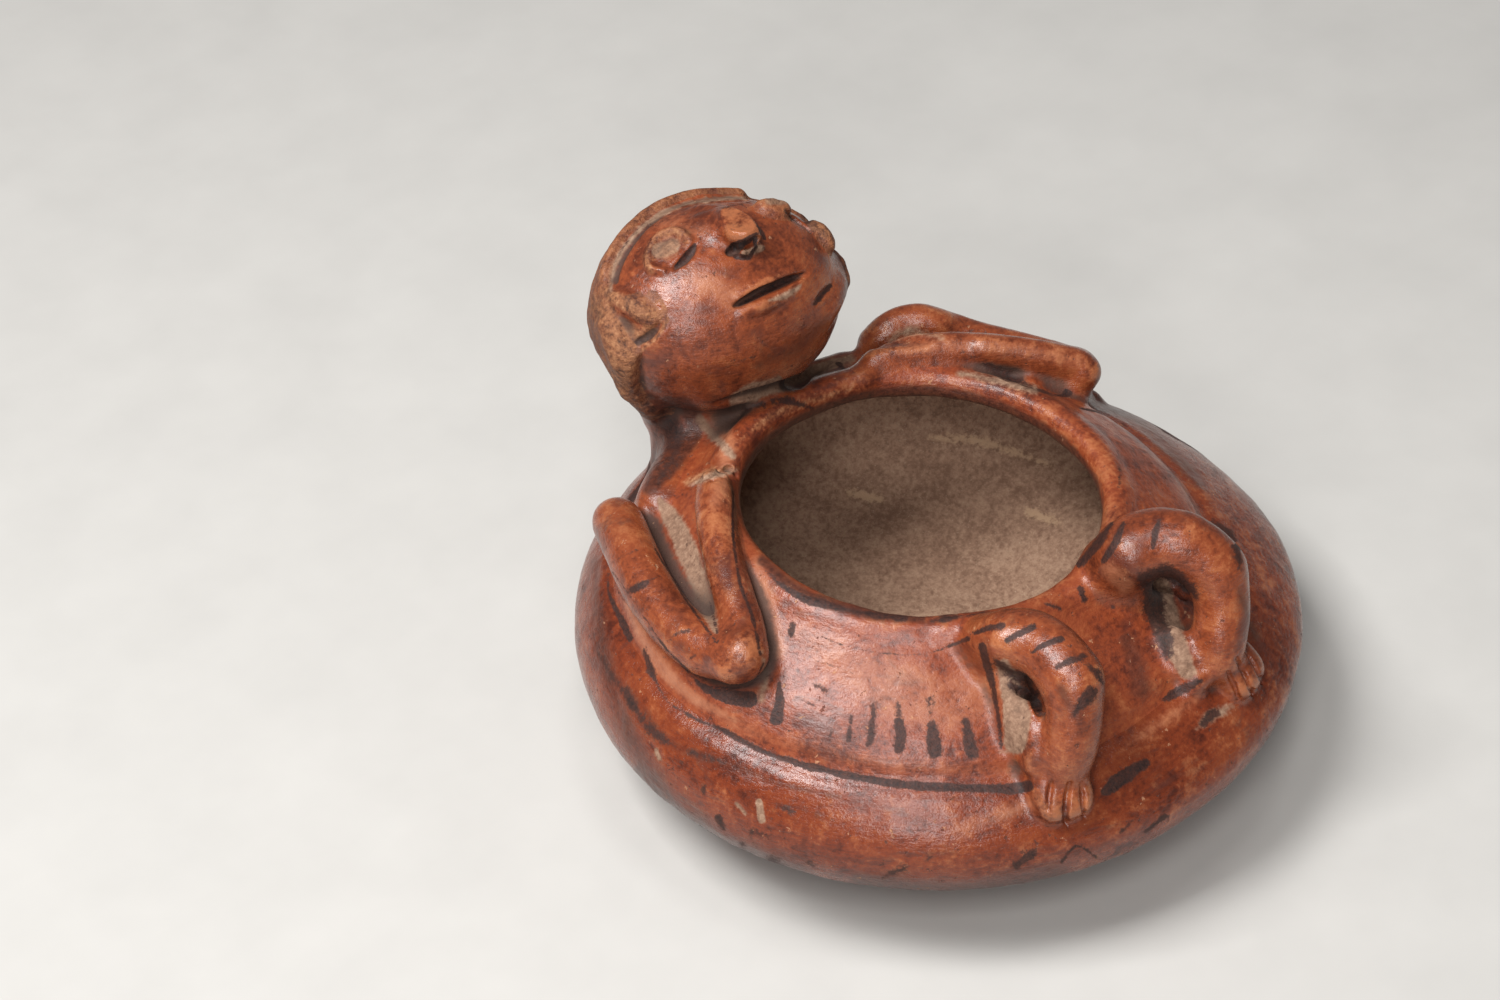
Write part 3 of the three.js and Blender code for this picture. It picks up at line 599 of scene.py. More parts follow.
add([(1085, 590, 2.0), (1105, 575, 5.0), (1125, 560, 6.5)], -3.0, 1.0, 6.0)
add([(1006, 684, 3.5), (1014, 706, 5.0), (1020, 730, 5.0), (1026, 750, 3.5)], 2.5, 1.0, 4.0)
add([(1032, 714, 2.0), (1034, 732, 3.0), (1036, 752, 3.0), (1032, 772, 3.0)], 0.6, 1.0, 3.0)
add([(1168, 640, 3.5), (1180, 662, 4.5), (1192, 684, 3.5)], 1.5, 1.0, 4.0)
carve([(1020, 690, .8), (1034, 697, 1.5), (1040, 712, .8)], 1.6)
carve([(1156, 584, 2.0), (1172, 582, 3.0), (1184, 592, 2.0)], 1.4, 0.5, 1.5)
# toes
for rows in (((1051, 783, .45), (1050, 792, .6), (1048, 812, .4)),
             ((1070, 784, .45), (1067, 802, .7), (1066, 825, .6)),
             ((1083, 784, .45), (1084, 800, .65), (1085, 817, .5)),
             ((1229, 673, .4), (1234, 686, .6), (1238, 700, .5)),
             ((1238, 659, .5), (1247, 676, .75), (1255, 695, .6)),
             ((1249, 654, .45), (1257, 667, .65), (1264, 683, .5))):
    carve(rows, 2.4)


# ---------------- how the surface bends and hides
HALF_VOXEL = 2 * VOXEL
BEND_BLUR, HIDE_BLUR = 2.4, 4.5
half = clay[::2, ::2, ::2]
rounded = blurred(half, BEND_BLUR, HALF_VOXEL) - half
# how much clay lies round each place, for painted shade in enclosed places
filled = blurred(np.clip(0.5 - half / HALF_VOXEL, 0, 1), HIDE_BLUR, HALF_VOXEL)


def sampled_half(values, points):
    """Samples of a volume that holds every second voxel."""
    return sampled(values, (points - FIRST * VOXEL) / 2, first=0)


# ---------------- meshing
NARROW, OVERLAP, SINK = 3 * VOXEL, 1.2, 0.1


def skin(values, box):
    """Points and quads where a block of distances is zero."""
    grid = openvdb.FloatGrid(NARROW)
    grid.transform = GRID
    grid.copyFromArray(np.clip(values, -NARROW, NARROW), ijk=tuple(int(c) for c in box.first))
    points, quads = grid.convertToQuads(0.0)
    return np.asarray(points, np.float64), np.asarray(quads, np.int64)


def outward(points, quads):
    """The quads with their faces turned out."""
    a, b, c, d = (points[quads[:, i]] for i in range(4))
    volume = (a * np.cross(b, c)).sum() + (a * np.cross(c, d)).sum()
    return quads if volume > 0 else quads[:, ::-1]


def mesh_from(name, points, quads):
    """A smooth mesh of quads, in metres."""
    mesh = bpy.data.meshes.new(name)
    mesh.vertices.add(len(points))
    mesh.vertices.foreach_set("co", (points * MM).astype(np.float32).ravel())
    mesh.loops.add(len(quads) * 4)
    mesh.loops.foreach_set("vertex_index", quads.astype(np.int32).ravel())
    mesh.polygons.add(len(quads))
    mesh.polygons.foreach_set("loop_start", np.arange(0, len(quads) * 4, 4, dtype=np.int32))
    mesh.polygons.foreach_set("use_smooth", np.ones(len(quads), bool))
    mesh.update(calc_edges=True)
    return mesh


skins = []
for index, name in enumerate(NODES):
    box = blocks[name]
    cut = box.cut()
    others = np.where(owner[cut] == index, second[cut], nearest[cut])
    edge = (nearness[name] - others) / 2
    share = np.clip(edge, 0, 1)
    form = clay[cut] + SINK * share * share * (3 - 2 * share)
    form = np.maximum(form, edge - OVERLAP)
    points, quads = skin(form, box)
    skins.append((name, points, outward(points, quads)))
every = np.concatenate([points for _, points, _ in skins])
facing = slopes(every)

# ---------------- paint, wear, painted shade and painted highlights, by vertex
# each stroke: its strength, how soft its edge is, and rows of photo pixels and half widths
PAINT_AND_SHADE = [
    # the dark side of the neck under the head: soot and painted shade
    (0.8, 16, [(652, 408, 7), (670, 424, 12), (676, 446, 12), (664, 468, 9), (654, 486, 5)]),
    # painted shadow in the hole under the far thigh and in the notch under the near knee
    (0.85, 8, [(1142, 580, 4), (1150, 600, 7), (1156, 624, 7), (1162, 648, 5)]),
    (0.85, 7, [(1146, 578, 4), (1166, 570, 5), (1184, 578, 5), (1194, 596, 4)]),
    (0.8, 7, [(994, 662, 3), (1006, 672, 5), (1024, 682, 5)]),
    # the line along the crease, which starts beside the elbow
    (0.95, 4, [(643, 650, 2), (648, 664, 4), (653, 676, 3), (660, 690, 1.5)]),
    (0.9, 3, [(656, 684, 1.2), (668, 702, 1.4), (682, 711, 1.6), (700, 721, 2), (718, 728, 3),
              (742, 741, 3.5),
              (760, 750, 3.5), (785, 759, 3.5), (812, 767, 4), (850, 776, 4)]),
    (1.0, 3, [(850, 776, 4), (900, 784, 4.5), (950, 787, 4.5), (990, 788, 5), (1012, 789, 6),
              (1028, 786, 6)]),
    # round the near elbow and down the shoulder
    (1.0, 3, [(694, 680, 1.2), (708, 690, 4.5), (728, 697, 7.5), (750, 699, 8.5)]),
    (1.0, 3, [(779, 683, 2.5), (779, 702, 5.5), (776, 719, 7.5)]),
    (0.8, 4, [(792, 625, 4.5), (791, 634, 4.5)]),
    (0.55, 3, [(790, 640, 1.5), (787, 660, 1.5), (784, 676, 2)]),
    (0.7, 5, [(813, 683, 4), (827, 691, 5)]),
    (0.75, 3, [(802, 700, 1.5), (815, 706, 1.8)]),
    (0.7, 2, [(798, 706, 1.2), (800, 716, 1.2), (794, 731, 1.4), (782, 728, 1.4)]),
    (0.8, 3, [(832, 725, 1.6), (829, 742, 2.4)]),
    (0.95, 4, [(851, 716, 2), (849, 740, 4)]),
    (0.9, 5, [(874, 702, 3), (872, 725, 5), (869, 744, 5)]),
    (1.0, 4, [(899, 722, 5), (901, 735, 7), (899, 748, 6)]),
    (0.65, 6, [(898, 700, 5), (899, 716, 5)]),
    (1.0, 5, [(932, 726, 6), (935, 750, 9)]),
    (0.6, 7, [(930, 700, 6), (931, 718, 6)]),
    (0.95, 5, [(966, 722, 5), (972, 752, 8)]),
    (0.8, 2, [(820, 636, 0.8), (846, 646, 1.0), (882, 653, 1.2), (922, 654, 1.2), (948, 647, 2.0),
              (966, 639, 3.5)]),
    (0.75, 2, [(814, 660, 0.8), (838, 667, 1.0), (853, 673, 0.8)]),
    # stripes on the near thigh and the edge beside it
    (1.0, 3, [(981, 646, 3.5), (986, 664, 4.5), (994, 696, 2.5), (1001, 748, 2)]),
    (0.95, 3, [(974, 633, 2), (988, 628, 4), (1001, 625, 4)]),
    (0.95, 3, [(1007, 640, 2.5), (1020, 633, 3.5), (1034, 626, 3.5)]),
    (0.95, 3, [(1032, 652, 2.5), (1046, 643, 3.5), (1062, 638, 3.5)]),
    (0.9, 4, [(1056, 666, 4), (1070, 660, 5), (1084, 656, 5)]),
    (0.95, 6, [(1074, 716, 4), (1082, 704, 7), (1092, 692, 6)]),
    (0.8, 5, [(1086, 664, 3), (1096, 672, 4), (1104, 684, 3)]),
    # stripes on the far thigh and knee
    (0.95, 4, [(1058, 578, 2.5), (1083, 560, 5), (1099, 540, 5), (1111, 523, 3)]),
    (1.0, 3, [(1103, 561, 3), (1112, 548, 4), (1123, 524, 3.5)]),
    (1.0, 3, [(1153, 548, 3), (1155, 534, 4), (1159, 520, 3.5)]),
    (0.6, 2, [(1190, 532, 1.2), (1189, 552, 1.2)]),
    (0.95, 6, [(1213, 520, 3), (1230, 533, 5), (1238, 552, 5), (1240, 568, 3)]),
    (0.75, 4, [(1046, 603, 3), (1060, 608, 3.5)]),
    (0.75, 4, [(1080, 588, 4), (1085, 600, 4)]),
    (0.7, 4, [(1112, 606, 4)]),
    # beside the feet
    (1.0, 4, [(1106, 792, 5), (1124, 777, 8), (1146, 763, 5)]),
    (0.85, 4, [(1164, 699, 3), (1182, 689, 6), (1200, 681, 4)]),
    (0.85, 6, [(1203, 724, 5), (1214, 713, 6)]),
    # the low bulge
    (0.8, 6, [(1016, 866, 5), (1032, 855, 6)]),
    (0.9, 3, [(1062, 862, 2), (1077, 846, 2.5), (1096, 857, 2)]),
    (0.8, 4, [(1122, 832, 3), (1138, 816, 2.5)]),
    (0.85, 4, [(1146, 832, 3), (1166, 816, 3.5)]),
    (1.0, 2.5, [(608, 574, 1.2), (608, 590, 2), (614, 606, 2.5), (621, 620, 3.5), (629, 638, 3.5)]),
    (0.8, 2.5, [(611, 574, 1), (618, 592, 1), (624, 602, 0.8)]),
    (0.7, 7, [(596, 648, 4), (610, 674, 6), (632, 704, 7), (650, 730, 7), (672, 745, 5)]),
    (0.6, 5, [(686, 750, 4), (715, 760, 5), (737, 768, 4)]),
    (0.6, 5, [(704, 786, 4), (702, 797, 3)]),
    (0.85, 4, [(718, 818, 4), (724, 828, 4)]),
    (0.7, 6, [(752, 832, 6), (768, 836, 5)]),
    (0.65, 6, [(742, 846, 6)]),
    (0.7, 8, [(770, 862, 8), (790, 872, 6)]),
    (0.65, 6, [(776, 806, 5), (794, 812, 5)]),
    (0.65, 8, [(800, 852, 5), (812, 866, 6)]),
    (0.6, 8, [(880, 880, 6), (905, 868, 5), (930, 858, 4)]),
    # arms
    (1.0, 4, [(631, 590, 4), (640, 585, 4.5), (648, 581, 2.5)]),
    (0.75, 3, [(648, 580, 2), (664, 574, 1.5)]),
    (0.7, 4, [(612, 562, 2), (624, 555, 3), (640, 549, 2)]),
    (0.65, 4, [(668, 640, 2), (676, 634, 3), (692, 628, 2)]),
    (0.7, 4, [(690, 658, 3), (696, 655, 2)]),
    (0.95, 2, [(656, 548, 1.0), (676, 582, 1.2), (700, 618, 1.6), (716, 642, 2.0)]),
    (0.9, 2, [(709, 602, 1.4), (716, 628, 1.6), (718, 641, 1.2)]),
    (1.0, 2.5, [(734, 490, 1.2), (735, 545, 1.6), (741, 585, 2), (750, 608, 3), (757, 634, 2),
                (761, 654, 1.5)]),
    (0.9, 5, [(753, 605, 4)]),
    (0.95, 2, [(612, 572, 1.0), (628, 594, 1.0), (645, 620, 1.0), (664, 648, 1.2), (682, 666, 1.4),
               (702, 684, 1.6),
               (730, 688, 1.4), (752, 684, 1.4), (764, 664, 1.2)]),
    # rim
    (0.95, 4, [(764, 568, 1.5), (780, 584, 2.5), (800, 597, 4), (820, 603, 4), (850, 610, 3.5),
               (905, 618, 3)]),
    (0.7, 3, [(930, 621, 3), (960, 616, 3), (990, 610, 2)]),
    (0.6, 5, [(962, 352, 4), (1000, 372, 6), (1032, 386, 4)]),
    (0.6, 5, [(1040, 390, 5), (1056, 398, 4)]),
    (0.65, 4, [(1118, 450, 2), (1120, 475, 3), (1116, 500, 2)]),
    (0.7, 4, [(742, 410, 3), (780, 400, 5), (812, 408, 4)]),
    # face: painted brow and hair lines, and painted shade in the lid line, the nostrils, the mouth slit,
    # the far-side grooves, the ear pit and the crack, with a painted shadow beside the nose
    (1.1, 2, [(676, 266, 2), (683, 260, 3.2), (690, 252, 3.6), (695, 245, 2)]),
    (1.1, 2, [(728, 251, 2.5), (736, 246, 4), (748, 240, 3), (757, 234, 2)]),
    (1.1, 2, [(736, 256, 3), (750, 258, 2), (756, 248, 2.5), (754, 238, 3)]),
    (1.0, 3, [(757, 222, 1.5), (762, 230, 2.5), (765, 238, 2)]),
    (1.1, 1.5, [(738, 305, 1.2), (752, 298, 2), (767, 290, 2.4), (783, 282, 2.2), (797, 276, 1.4),
                (806, 272, 0.6)]),
    (0.95, 3, [(832, 285, 1.5), (824, 294, 2.5), (816, 304, 1.5)]),
    # painted shadow in the holes under the thighs
    (1.3, 14, [(1146, 582, 6), (1154, 604, 8), (1162, 632, 8), (1166, 652, 5)]),
    (1.3, 12, [(1144, 578, 6), (1168, 572, 6), (1188, 588, 5)]),
    (0.9, 6, [(1012, 686, 5), (1034, 695, 6), (1040, 712, 3)]),
    (0.95, 4, [(797, 208, 3), (806, 216, 6), (814, 227, 5)]),
    (0.7, 4, [(786, 215, 3), (796, 222, 3)]),
    (0.7, 2, [(716, 209, 1.0), (736, 204, 1.5), (754, 200, 1.5)]),
    (0.9, 2, [(613, 268, 0.9), (621, 250, 1.0), (635, 232, 1.0), (652, 214, 0.8)]),
    (0.7, 4, [(634, 343, 2), (645, 341, 3), (655, 331, 2), (661, 321, 1)]),
    (0.8, 3, [(641, 348, 0.8), (641, 370, 1.2), (636, 392, 0.8)]),
    (0.8, 5, [(592, 306, 4), (600, 316, 3)]),
    (0.7, 4, [(618, 326, 3)]),
    (0.6, 5, [(735, 361, 3), (745, 360, 4), (756, 357, 4)]),
]
CLAY = [
    (0.95, 5, [(660, 500, 4), (674, 524, 10), (690, 560, 11), (704, 600, 7), (715, 630, 3)]),
    (0.9, 5, [(700, 420, 4), (718, 440, 5), (734, 455, 4)]),
    (1.0, 4, [(1003, 668, 7), (1012, 690, 12), (1016, 715, 14), (1015, 742, 12)]),
    (1.0, 5, [(1160, 590, 12), (1166, 620, 14), (1178, 650, 12), (1188, 672, 8)]),
    (1.0, 5, [(738, 402, 9), (752, 394, 9), (780, 384, 7), (812, 370, 6), (850, 358, 5)]),
    (0.8, 6, [(960, 372, 4), (1000, 380, 6), (1035, 390, 6)]),
    (0.8, 3, [(610, 290, 3), (615, 264, 4), (630, 240, 4), (652, 219, 4), (682, 205, 3), (714, 199, 3),
              (748, 197, 2)]),
    (0.9, 3, [(659, 250, 8), (672, 245, 8)]),
    (0.7, 3, [(770, 200, 6), (786, 199, 6)]),
    (0.8, 3, [(770, 300, 2), (786, 296, 5), (800, 286, 3)]),
    (0.9, 2.5, [(744, 253, 4), (762, 248, 4)]),
    (1.3, 2.5, [(758, 802, 2.5), (761, 820, 3)]),
    (1.0, 2.5, [(736, 804, 2), (745, 814, 1.5)]),
    (1.0, 2.5, [(655, 750, 2), (659, 759, 2)]),
    (0.7, 6, [(762, 652, 3), (766, 676, 6), (760, 700, 6)]),
    (0.5, 6, [(740, 530, 3), (752, 600, 4), (766, 640, 5)]),
    (0.6, 7, [(890, 340, 6), (912, 330, 8), (940, 338, 5)]),
    (0.7, 4, [(690, 484, 3), (714, 474, 5), (738, 470, 4)]),
    (0.6, 6, [(1196, 730, 6), (1215, 714, 8), (1232, 706, 5)]),
    (0.6, 4, [(1000, 752, 4), (1026, 748, 5)]),
]
# paler worn slip and pale patches, with painted highlights on the shoulder, cheek, far forearm and low
# bulge and painted light on the front of the neck
PALE_WEAR_AND_HIGHLIGHT = [
    # paler slip on the shoulder, with a painted highlight
    (0.6, 30, [(800, 630, 14), (860, 672, 28), (930, 700, 34), (985, 700, 25)]),
    (0.9, 8, [(626, 604, 3), (638, 628, 6), (652, 655, 8), (674, 682, 7), (702, 703, 6), (724, 714, 5)]),
    (0.5, 25, [(690, 690, 10), (740, 725, 14), (800, 745, 14), (900, 765, 10), (1000, 770, 10)]),
    (0.9, 12, [(756, 560, 6), (770, 610, 9), (778, 650, 9)]),
    # painted light on the front of the neck
    (0.9, 14, [(716, 418, 8), (728, 450, 10), (716, 500, 8)]),
    (0.9, 12, [(1108, 570, 8), (1125, 585, 10)]),
    # painted highlights along the far forearm, on the cheek and on the low bulge
    (0.7, 18, [(905, 348, 6), (960, 345, 8), (1040, 352, 8), (1085, 362, 6)]),
    (0.7, 20, [(690, 275, 14), (735, 300, 14)]),
    (0.6, 22, [(960, 830, 12), (1030, 805, 10)]),
    (0.5, 20, [(660, 220, 10), (700, 230, 12)]),
    (0.6, 16, [(1130, 745, 7), (1180, 710, 7), (1215, 680, 4)]),
    (0.8, 16, [(930, 438, 6), (975, 440, 8), (1015, 452, 7), (1052, 466, 5)]),
    (0.8, 14, [(850, 492, 7), (880, 498, 7)]),
    (0.8, 14, [(1030, 512, 8), (1056, 522, 7)]),
]
# darker slip and soot, and painted shade: the dark under the head, the lower outline of the bulge, under
# the chin, the far valley, between and beside the legs and the arms' V
DARK_SLIP_AND_SHADE = [
    (1.4, 16, [(636, 404, 8), (656, 412, 12), (668, 432, 16), (664, 458, 14), (650, 486, 8)]),
    (1.4, 12, [(666, 404, 6), (686, 410, 8), (694, 426, 8), (684, 446, 8), (666, 472, 7)]),
    (0.6, 8, [(592, 632, 4), (600, 656, 6), (614, 680, 9), (634, 704, 10), (650, 728, 9), (672, 745, 7),
              (700, 756, 7), (737, 767, 6), (780, 784, 5), (840, 797, 4)]),
    (1.2, 18, [(640, 772, 8), (666, 802, 9), (700, 832, 8)]),
    (0.4, 20, [(690, 404, 8), (700, 430, 6)]),
    # painted shade along the lower outline of the bulge
    (0.8, 25, [(594, 560, 8), (598, 620, 10), (616, 700, 12), (660, 790, 14), (720, 840, 15),
               (800, 874, 15)]),
    (0.9, 25, [(860, 884, 14), (960, 894, 14), (1060, 874, 12)]),
    (0.95, 9, [(762, 560, 6), (800, 592, 7), (860, 611, 7), (940, 615, 7), (1010, 600, 7), (1056, 580, 6)]),
    (0.7, 10, [(596, 300, 8), (592, 330, 8), (600, 352, 6)]),
    (0.7, 8, [(622, 392, 6), (640, 392, 6)]),
    # painted shadows under the chin, in the far valley, between the legs, beside the far leg, in the arms'
    # V and on the near knee's far side
    (0.6, 14, [(760, 365, 8), (800, 345, 10), (828, 318, 8)]),
    (0.6, 12, [(1100, 400, 8), (1150, 430, 10), (1200, 480, 10)]),
    (0.7, 16, [(1130, 640, 12), (1140, 690, 14)]),
    (0.6, 14, [(1240, 590, 8), (1250, 620, 8), (1262, 650, 8)]),
    (0.6, 10, [(730, 555, 4), (700, 560, 4)]),
    (0.6, 12, [(1060, 690, 8), (1085, 730, 8)]),
]
TAN = [
    (1.0, 6, [(624, 328, 8), (640, 338, 8), (650, 332, 6)]),
    (1.0, 6, [(606, 292, 6), (630, 306, 9), (650, 315, 7)]),
    (1.0, 10, [(606, 310, 8), (616, 336, 14), (622, 362, 15), (620, 390, 12)]),
    (0.9, 4, [(668, 319, 2), (658, 335, 3), (643, 348, 3)]),
    (0.8, 5, [(650, 272, 4), (645, 256, 5), (655, 238, 4), (672, 231, 4), (688, 233, 3)]),
    (0.8, 5, [(762, 196, 6), (785, 194, 6)]),
    (1.0, 5, [(816, 222, 6), (826, 234, 6)]),
    (0.7, 5, [(688, 482, 5), (712, 470, 6), (738, 468, 5)]),
    (0.6, 8, [(740, 440, 5), (765, 420, 8), (800, 405, 8), (850, 390, 6)]),
    (0.5, 10, [(745, 655, 8)]),
]
# on the sides that the photo does not show: bearing in degrees, height and half width in millimetres
ROUND_PAINT = [
    (1.0, 0.8, [(-228, 58, 0.9), (-240, 59, 1.1), (-252, 59.5, 0.6), (-266, 59.5, 1.0)]),
    (1.0, 0.8, [(80, 60, 0.8), (62, 60, 1.1), (40, 61, 0.6), (25, 61, 1.0), (4, 62, 0.9), (-16, 62, 0.7)]),
]
# rows of upright bars: first and last bearing, then height and half width below and above
for first, last, low, low_half, high, high_half in ((-230, -262, 64, 1.4, 71, 1.7),
                                                    (66, -6, 66, 1.5, 73, 1.2)):
    for number, bearing in enumerate(range(first, last, -8)):
        ROUND_PAINT.append((0.9, 1.2, [(bearing, low + number % 2, low_half),
                                       (bearing + 1, high - number % 3, high_half)]))
for bearing, height in ((-228, 26), (-246, 38), (84, 30), (58, 22), (36, 40), (12, 28), (-8, 40),
                        (-20, 26)):
    ROUND_PAINT.append((0.9, 4.0, [(bearing, height, 2.2), (bearing + 6, height + 6, 1.8),
                                   (bearing + 13, height + 5, 1.1)]))

STROKE_STEP, ROUND_STEP, ROUND_MARGIN, ON_POT, DEGREE = 8.0, 3.0, 8, 2, 1.6
DEPTH_REACH, DEPTH_FADE, PIXELS_A_MM, TURNED_AWAY = 5, 3, 3.5, -0.1
PAINT_SOFTER, CLAY_SOFTER = 1.8, 2.4
pixels = pixel_of(every)


def beside(p, a, b, half_a, half_b):
    """How far along a to b each point lies, and how far it is outside the stroke from a to b."""
    t = np.clip((p - a) @ (b - a) / max((b - a) @ (b - a), TINY), 0, 1)[:, None]
    return t, np.linalg.norm(p - a - t * (b - a), axis=1) - (half_a * (1 - t) + half_b * t)[:, 0]


def strokes(table, softer=1.0):
    """The greatest strength that any stroke has at each vertex."""
    mask = np.zeros(len(every), np.float32)
    for strength, soft, rows in table:
        soft *= softer
        line = smooth_line(rows, STROKE_STEP)
        line = np.repeat(line, 2, 0) if len(line) < 2 else line
        spots, tilts = surface(line[:, :2])
        reach = line[:, 2].max() + soft
        near = np.nonzero(((pixels > line[:, :2].min(0) - reach)
                           & (pixels < line[:, :2].max(0) + reach)).all(1))[0]
        best = np.full(len(near), FAR)
        spot, tilt = np.zeros((len(near), 3)), np.zeros((len(near), 3))
        for i in range(len(line) - 1):
            t, d = beside(pixels[near], line[i, :2], line[i + 1, :2], line[i, 2], line[i + 1, 2])
            closer = d < best
            best[closer] = d[closer]
            spot[closer] = (spots[i] * (1 - t) + spots[i + 1] * t)[closer]
            tilt[closer] = (tilts[i] * (1 - t) + tilts[i + 1] * t)[closer]
        away = np.linalg.norm(every[near] - spot, axis=1) / (DEPTH_REACH + reach / PIXELS_A_MM)
        level = np.clip(0.5 - best / soft, 0, 1) * np.clip(DEPTH_FADE - away, 0, 1)
        level *= np.einsum("ij,ij->i", facing[near], tilt) > TURNED_AWAY
        mask[near] = np.maximum(mask[near], strength * level)
    return mask


def round_strokes(table):
    """The same for strokes that are placed by bearing and height on the outside of the pot."""
    mask = np.zeros(len(every), np.float32)
    bearing = np.degrees(np.arctan2(every[:, 1], every[:, 0]))
    on_pot = np.abs(sampled(outer, every)) < ON_POT
    for strength, soft, rows in table:
        line = smooth_line(rows, ROUND_STEP)
        middle = line[:, 0].mean()
        turn = (bearing - middle + 180) % 360 - 180
        near = np.nonzero(on_pot & (np.abs(turn) < np.ptp(line[:, 0]) / 2 + ROUND_MARGIN))[0]
        p = np.stack([turn[near] * DEGREE, every[near, 2]], -1)
        line[:, 0] = (line[:, 0] - middle) * DEGREE
        best = np.full(len(p), FAR)
        for a, b in zip(line[:-1], line[1:]):
            best = np.minimum(best, beside(p, a[:2], b[:2], a[2], b[2])[1])
        mask[near] = np.maximum(mask[near], strength * np.clip(0.5 - best / soft, 0, 1))
    return mask


LIP_TOP, LIP_FADE, SHADE_BELOW, BARE_BELOW = 3, 3, 1.5, 7
INSIDE_REACH, INSIDE_FADE, INSIDE_TOP, INSIDE_RADIUS = 3.2, 1.4, 92, 96
LOOK_OUT, EDGE_BEND, HOLLOW_GAIN, HOLLOW_MOST, ENCLOSED_SHADE_GAIN, ENCLOSED_SHADE_FROM = 3.0, 0.25, 1.4, 0.9, 2.4, 0.5
lean = (every[:, 0] * math.cos(LEAN_BEARING) + every[:, 1] * math.sin(LEAN_BEARING)) * LEAN
below_lip = RIM_HEIGHT + LIP_TOP + lean - every[:, 2]
in_pot = np.clip((INSIDE_REACH - sampled(inner, every)) / INSIDE_FADE, 0, 1)
in_pot *= (every[:, 2] < INSIDE_TOP) & (np.hypot(every[:, 0], every[:, 1]) < INSIDE_RADIUS)
lip_shade = in_pot * np.clip((below_lip - SHADE_BELOW) / LIP_FADE, 0, 1)
bend = sampled_half(rounded, every)
hidden = sampled_half(filled, every + facing * LOOK_OUT)
LAYERS = {
    # painted strokes, and painted shade in holes, grooves and slits
    "paint_and_shade": np.maximum(strokes(PAINT_AND_SHADE, PAINT_SOFTER), round_strokes(ROUND_PAINT)),
    "clay": strokes(CLAY, CLAY_SOFTER),
    # paler worn slip, with painted highlights and painted light
    "pale": strokes(PALE_WEAR_AND_HIGHLIGHT),
    # darker slip and soot, with painted shade on the lip's inner slope and where the strokes put it
    "dark": np.maximum(strokes(DARK_SLIP_AND_SHADE), lip_shade),
    "tan": strokes(TAN, CLAY_SOFTER),
    "inside": in_pot * np.clip((below_lip - BARE_BELOW) / LIP_FADE, 0, 1),
    "edge": np.clip(bend - EDGE_BEND, 0, 1),
    # painted shade in concave creases
    "hollow": np.clip(-bend * HOLLOW_GAIN, 0, HOLLOW_MOST),
    # painted shade where the clay around is enclosed
    "enclosed_shade": np.clip(hidden * ENCLOSED_SHADE_GAIN - ENCLOSED_SHADE_FROM, 0, 1),
}

# the hand's unevenness, and the crumbled surface of bare clay
UNEVEN, UNEVEN_MIDDLE = ((0.55, 22.0), (0.34, 8.0, 5.0), (0.12, 3.4, 9.0), (0.05, 1.7, 2.0)), 0.3
CRUMBS, CRUMBS_MIDDLE = ((0.9, 2.4, 4.0), (0.5, 5.0, 1.0)), 0.35
TAN_SHARE, CLAY_SHARE, DARK_SHARE = 0.8, 0.35, 0.3
bared = np.clip(TAN_SHARE * LAYERS["tan"] + CLAY_SHARE * LAYERS["clay"]
                + DARK_SHARE * LAYERS["dark"] * (1 - lip_shade), 0, 1)
sunk = rough_with(every, *UNEVEN) - UNEVEN_MIDDLE + bared * (rough_with(every, *CRUMBS) - CRUMBS_MIDDLE)
moved = np.clip(every - facing * sunk[:, None], LOW, HIGH)


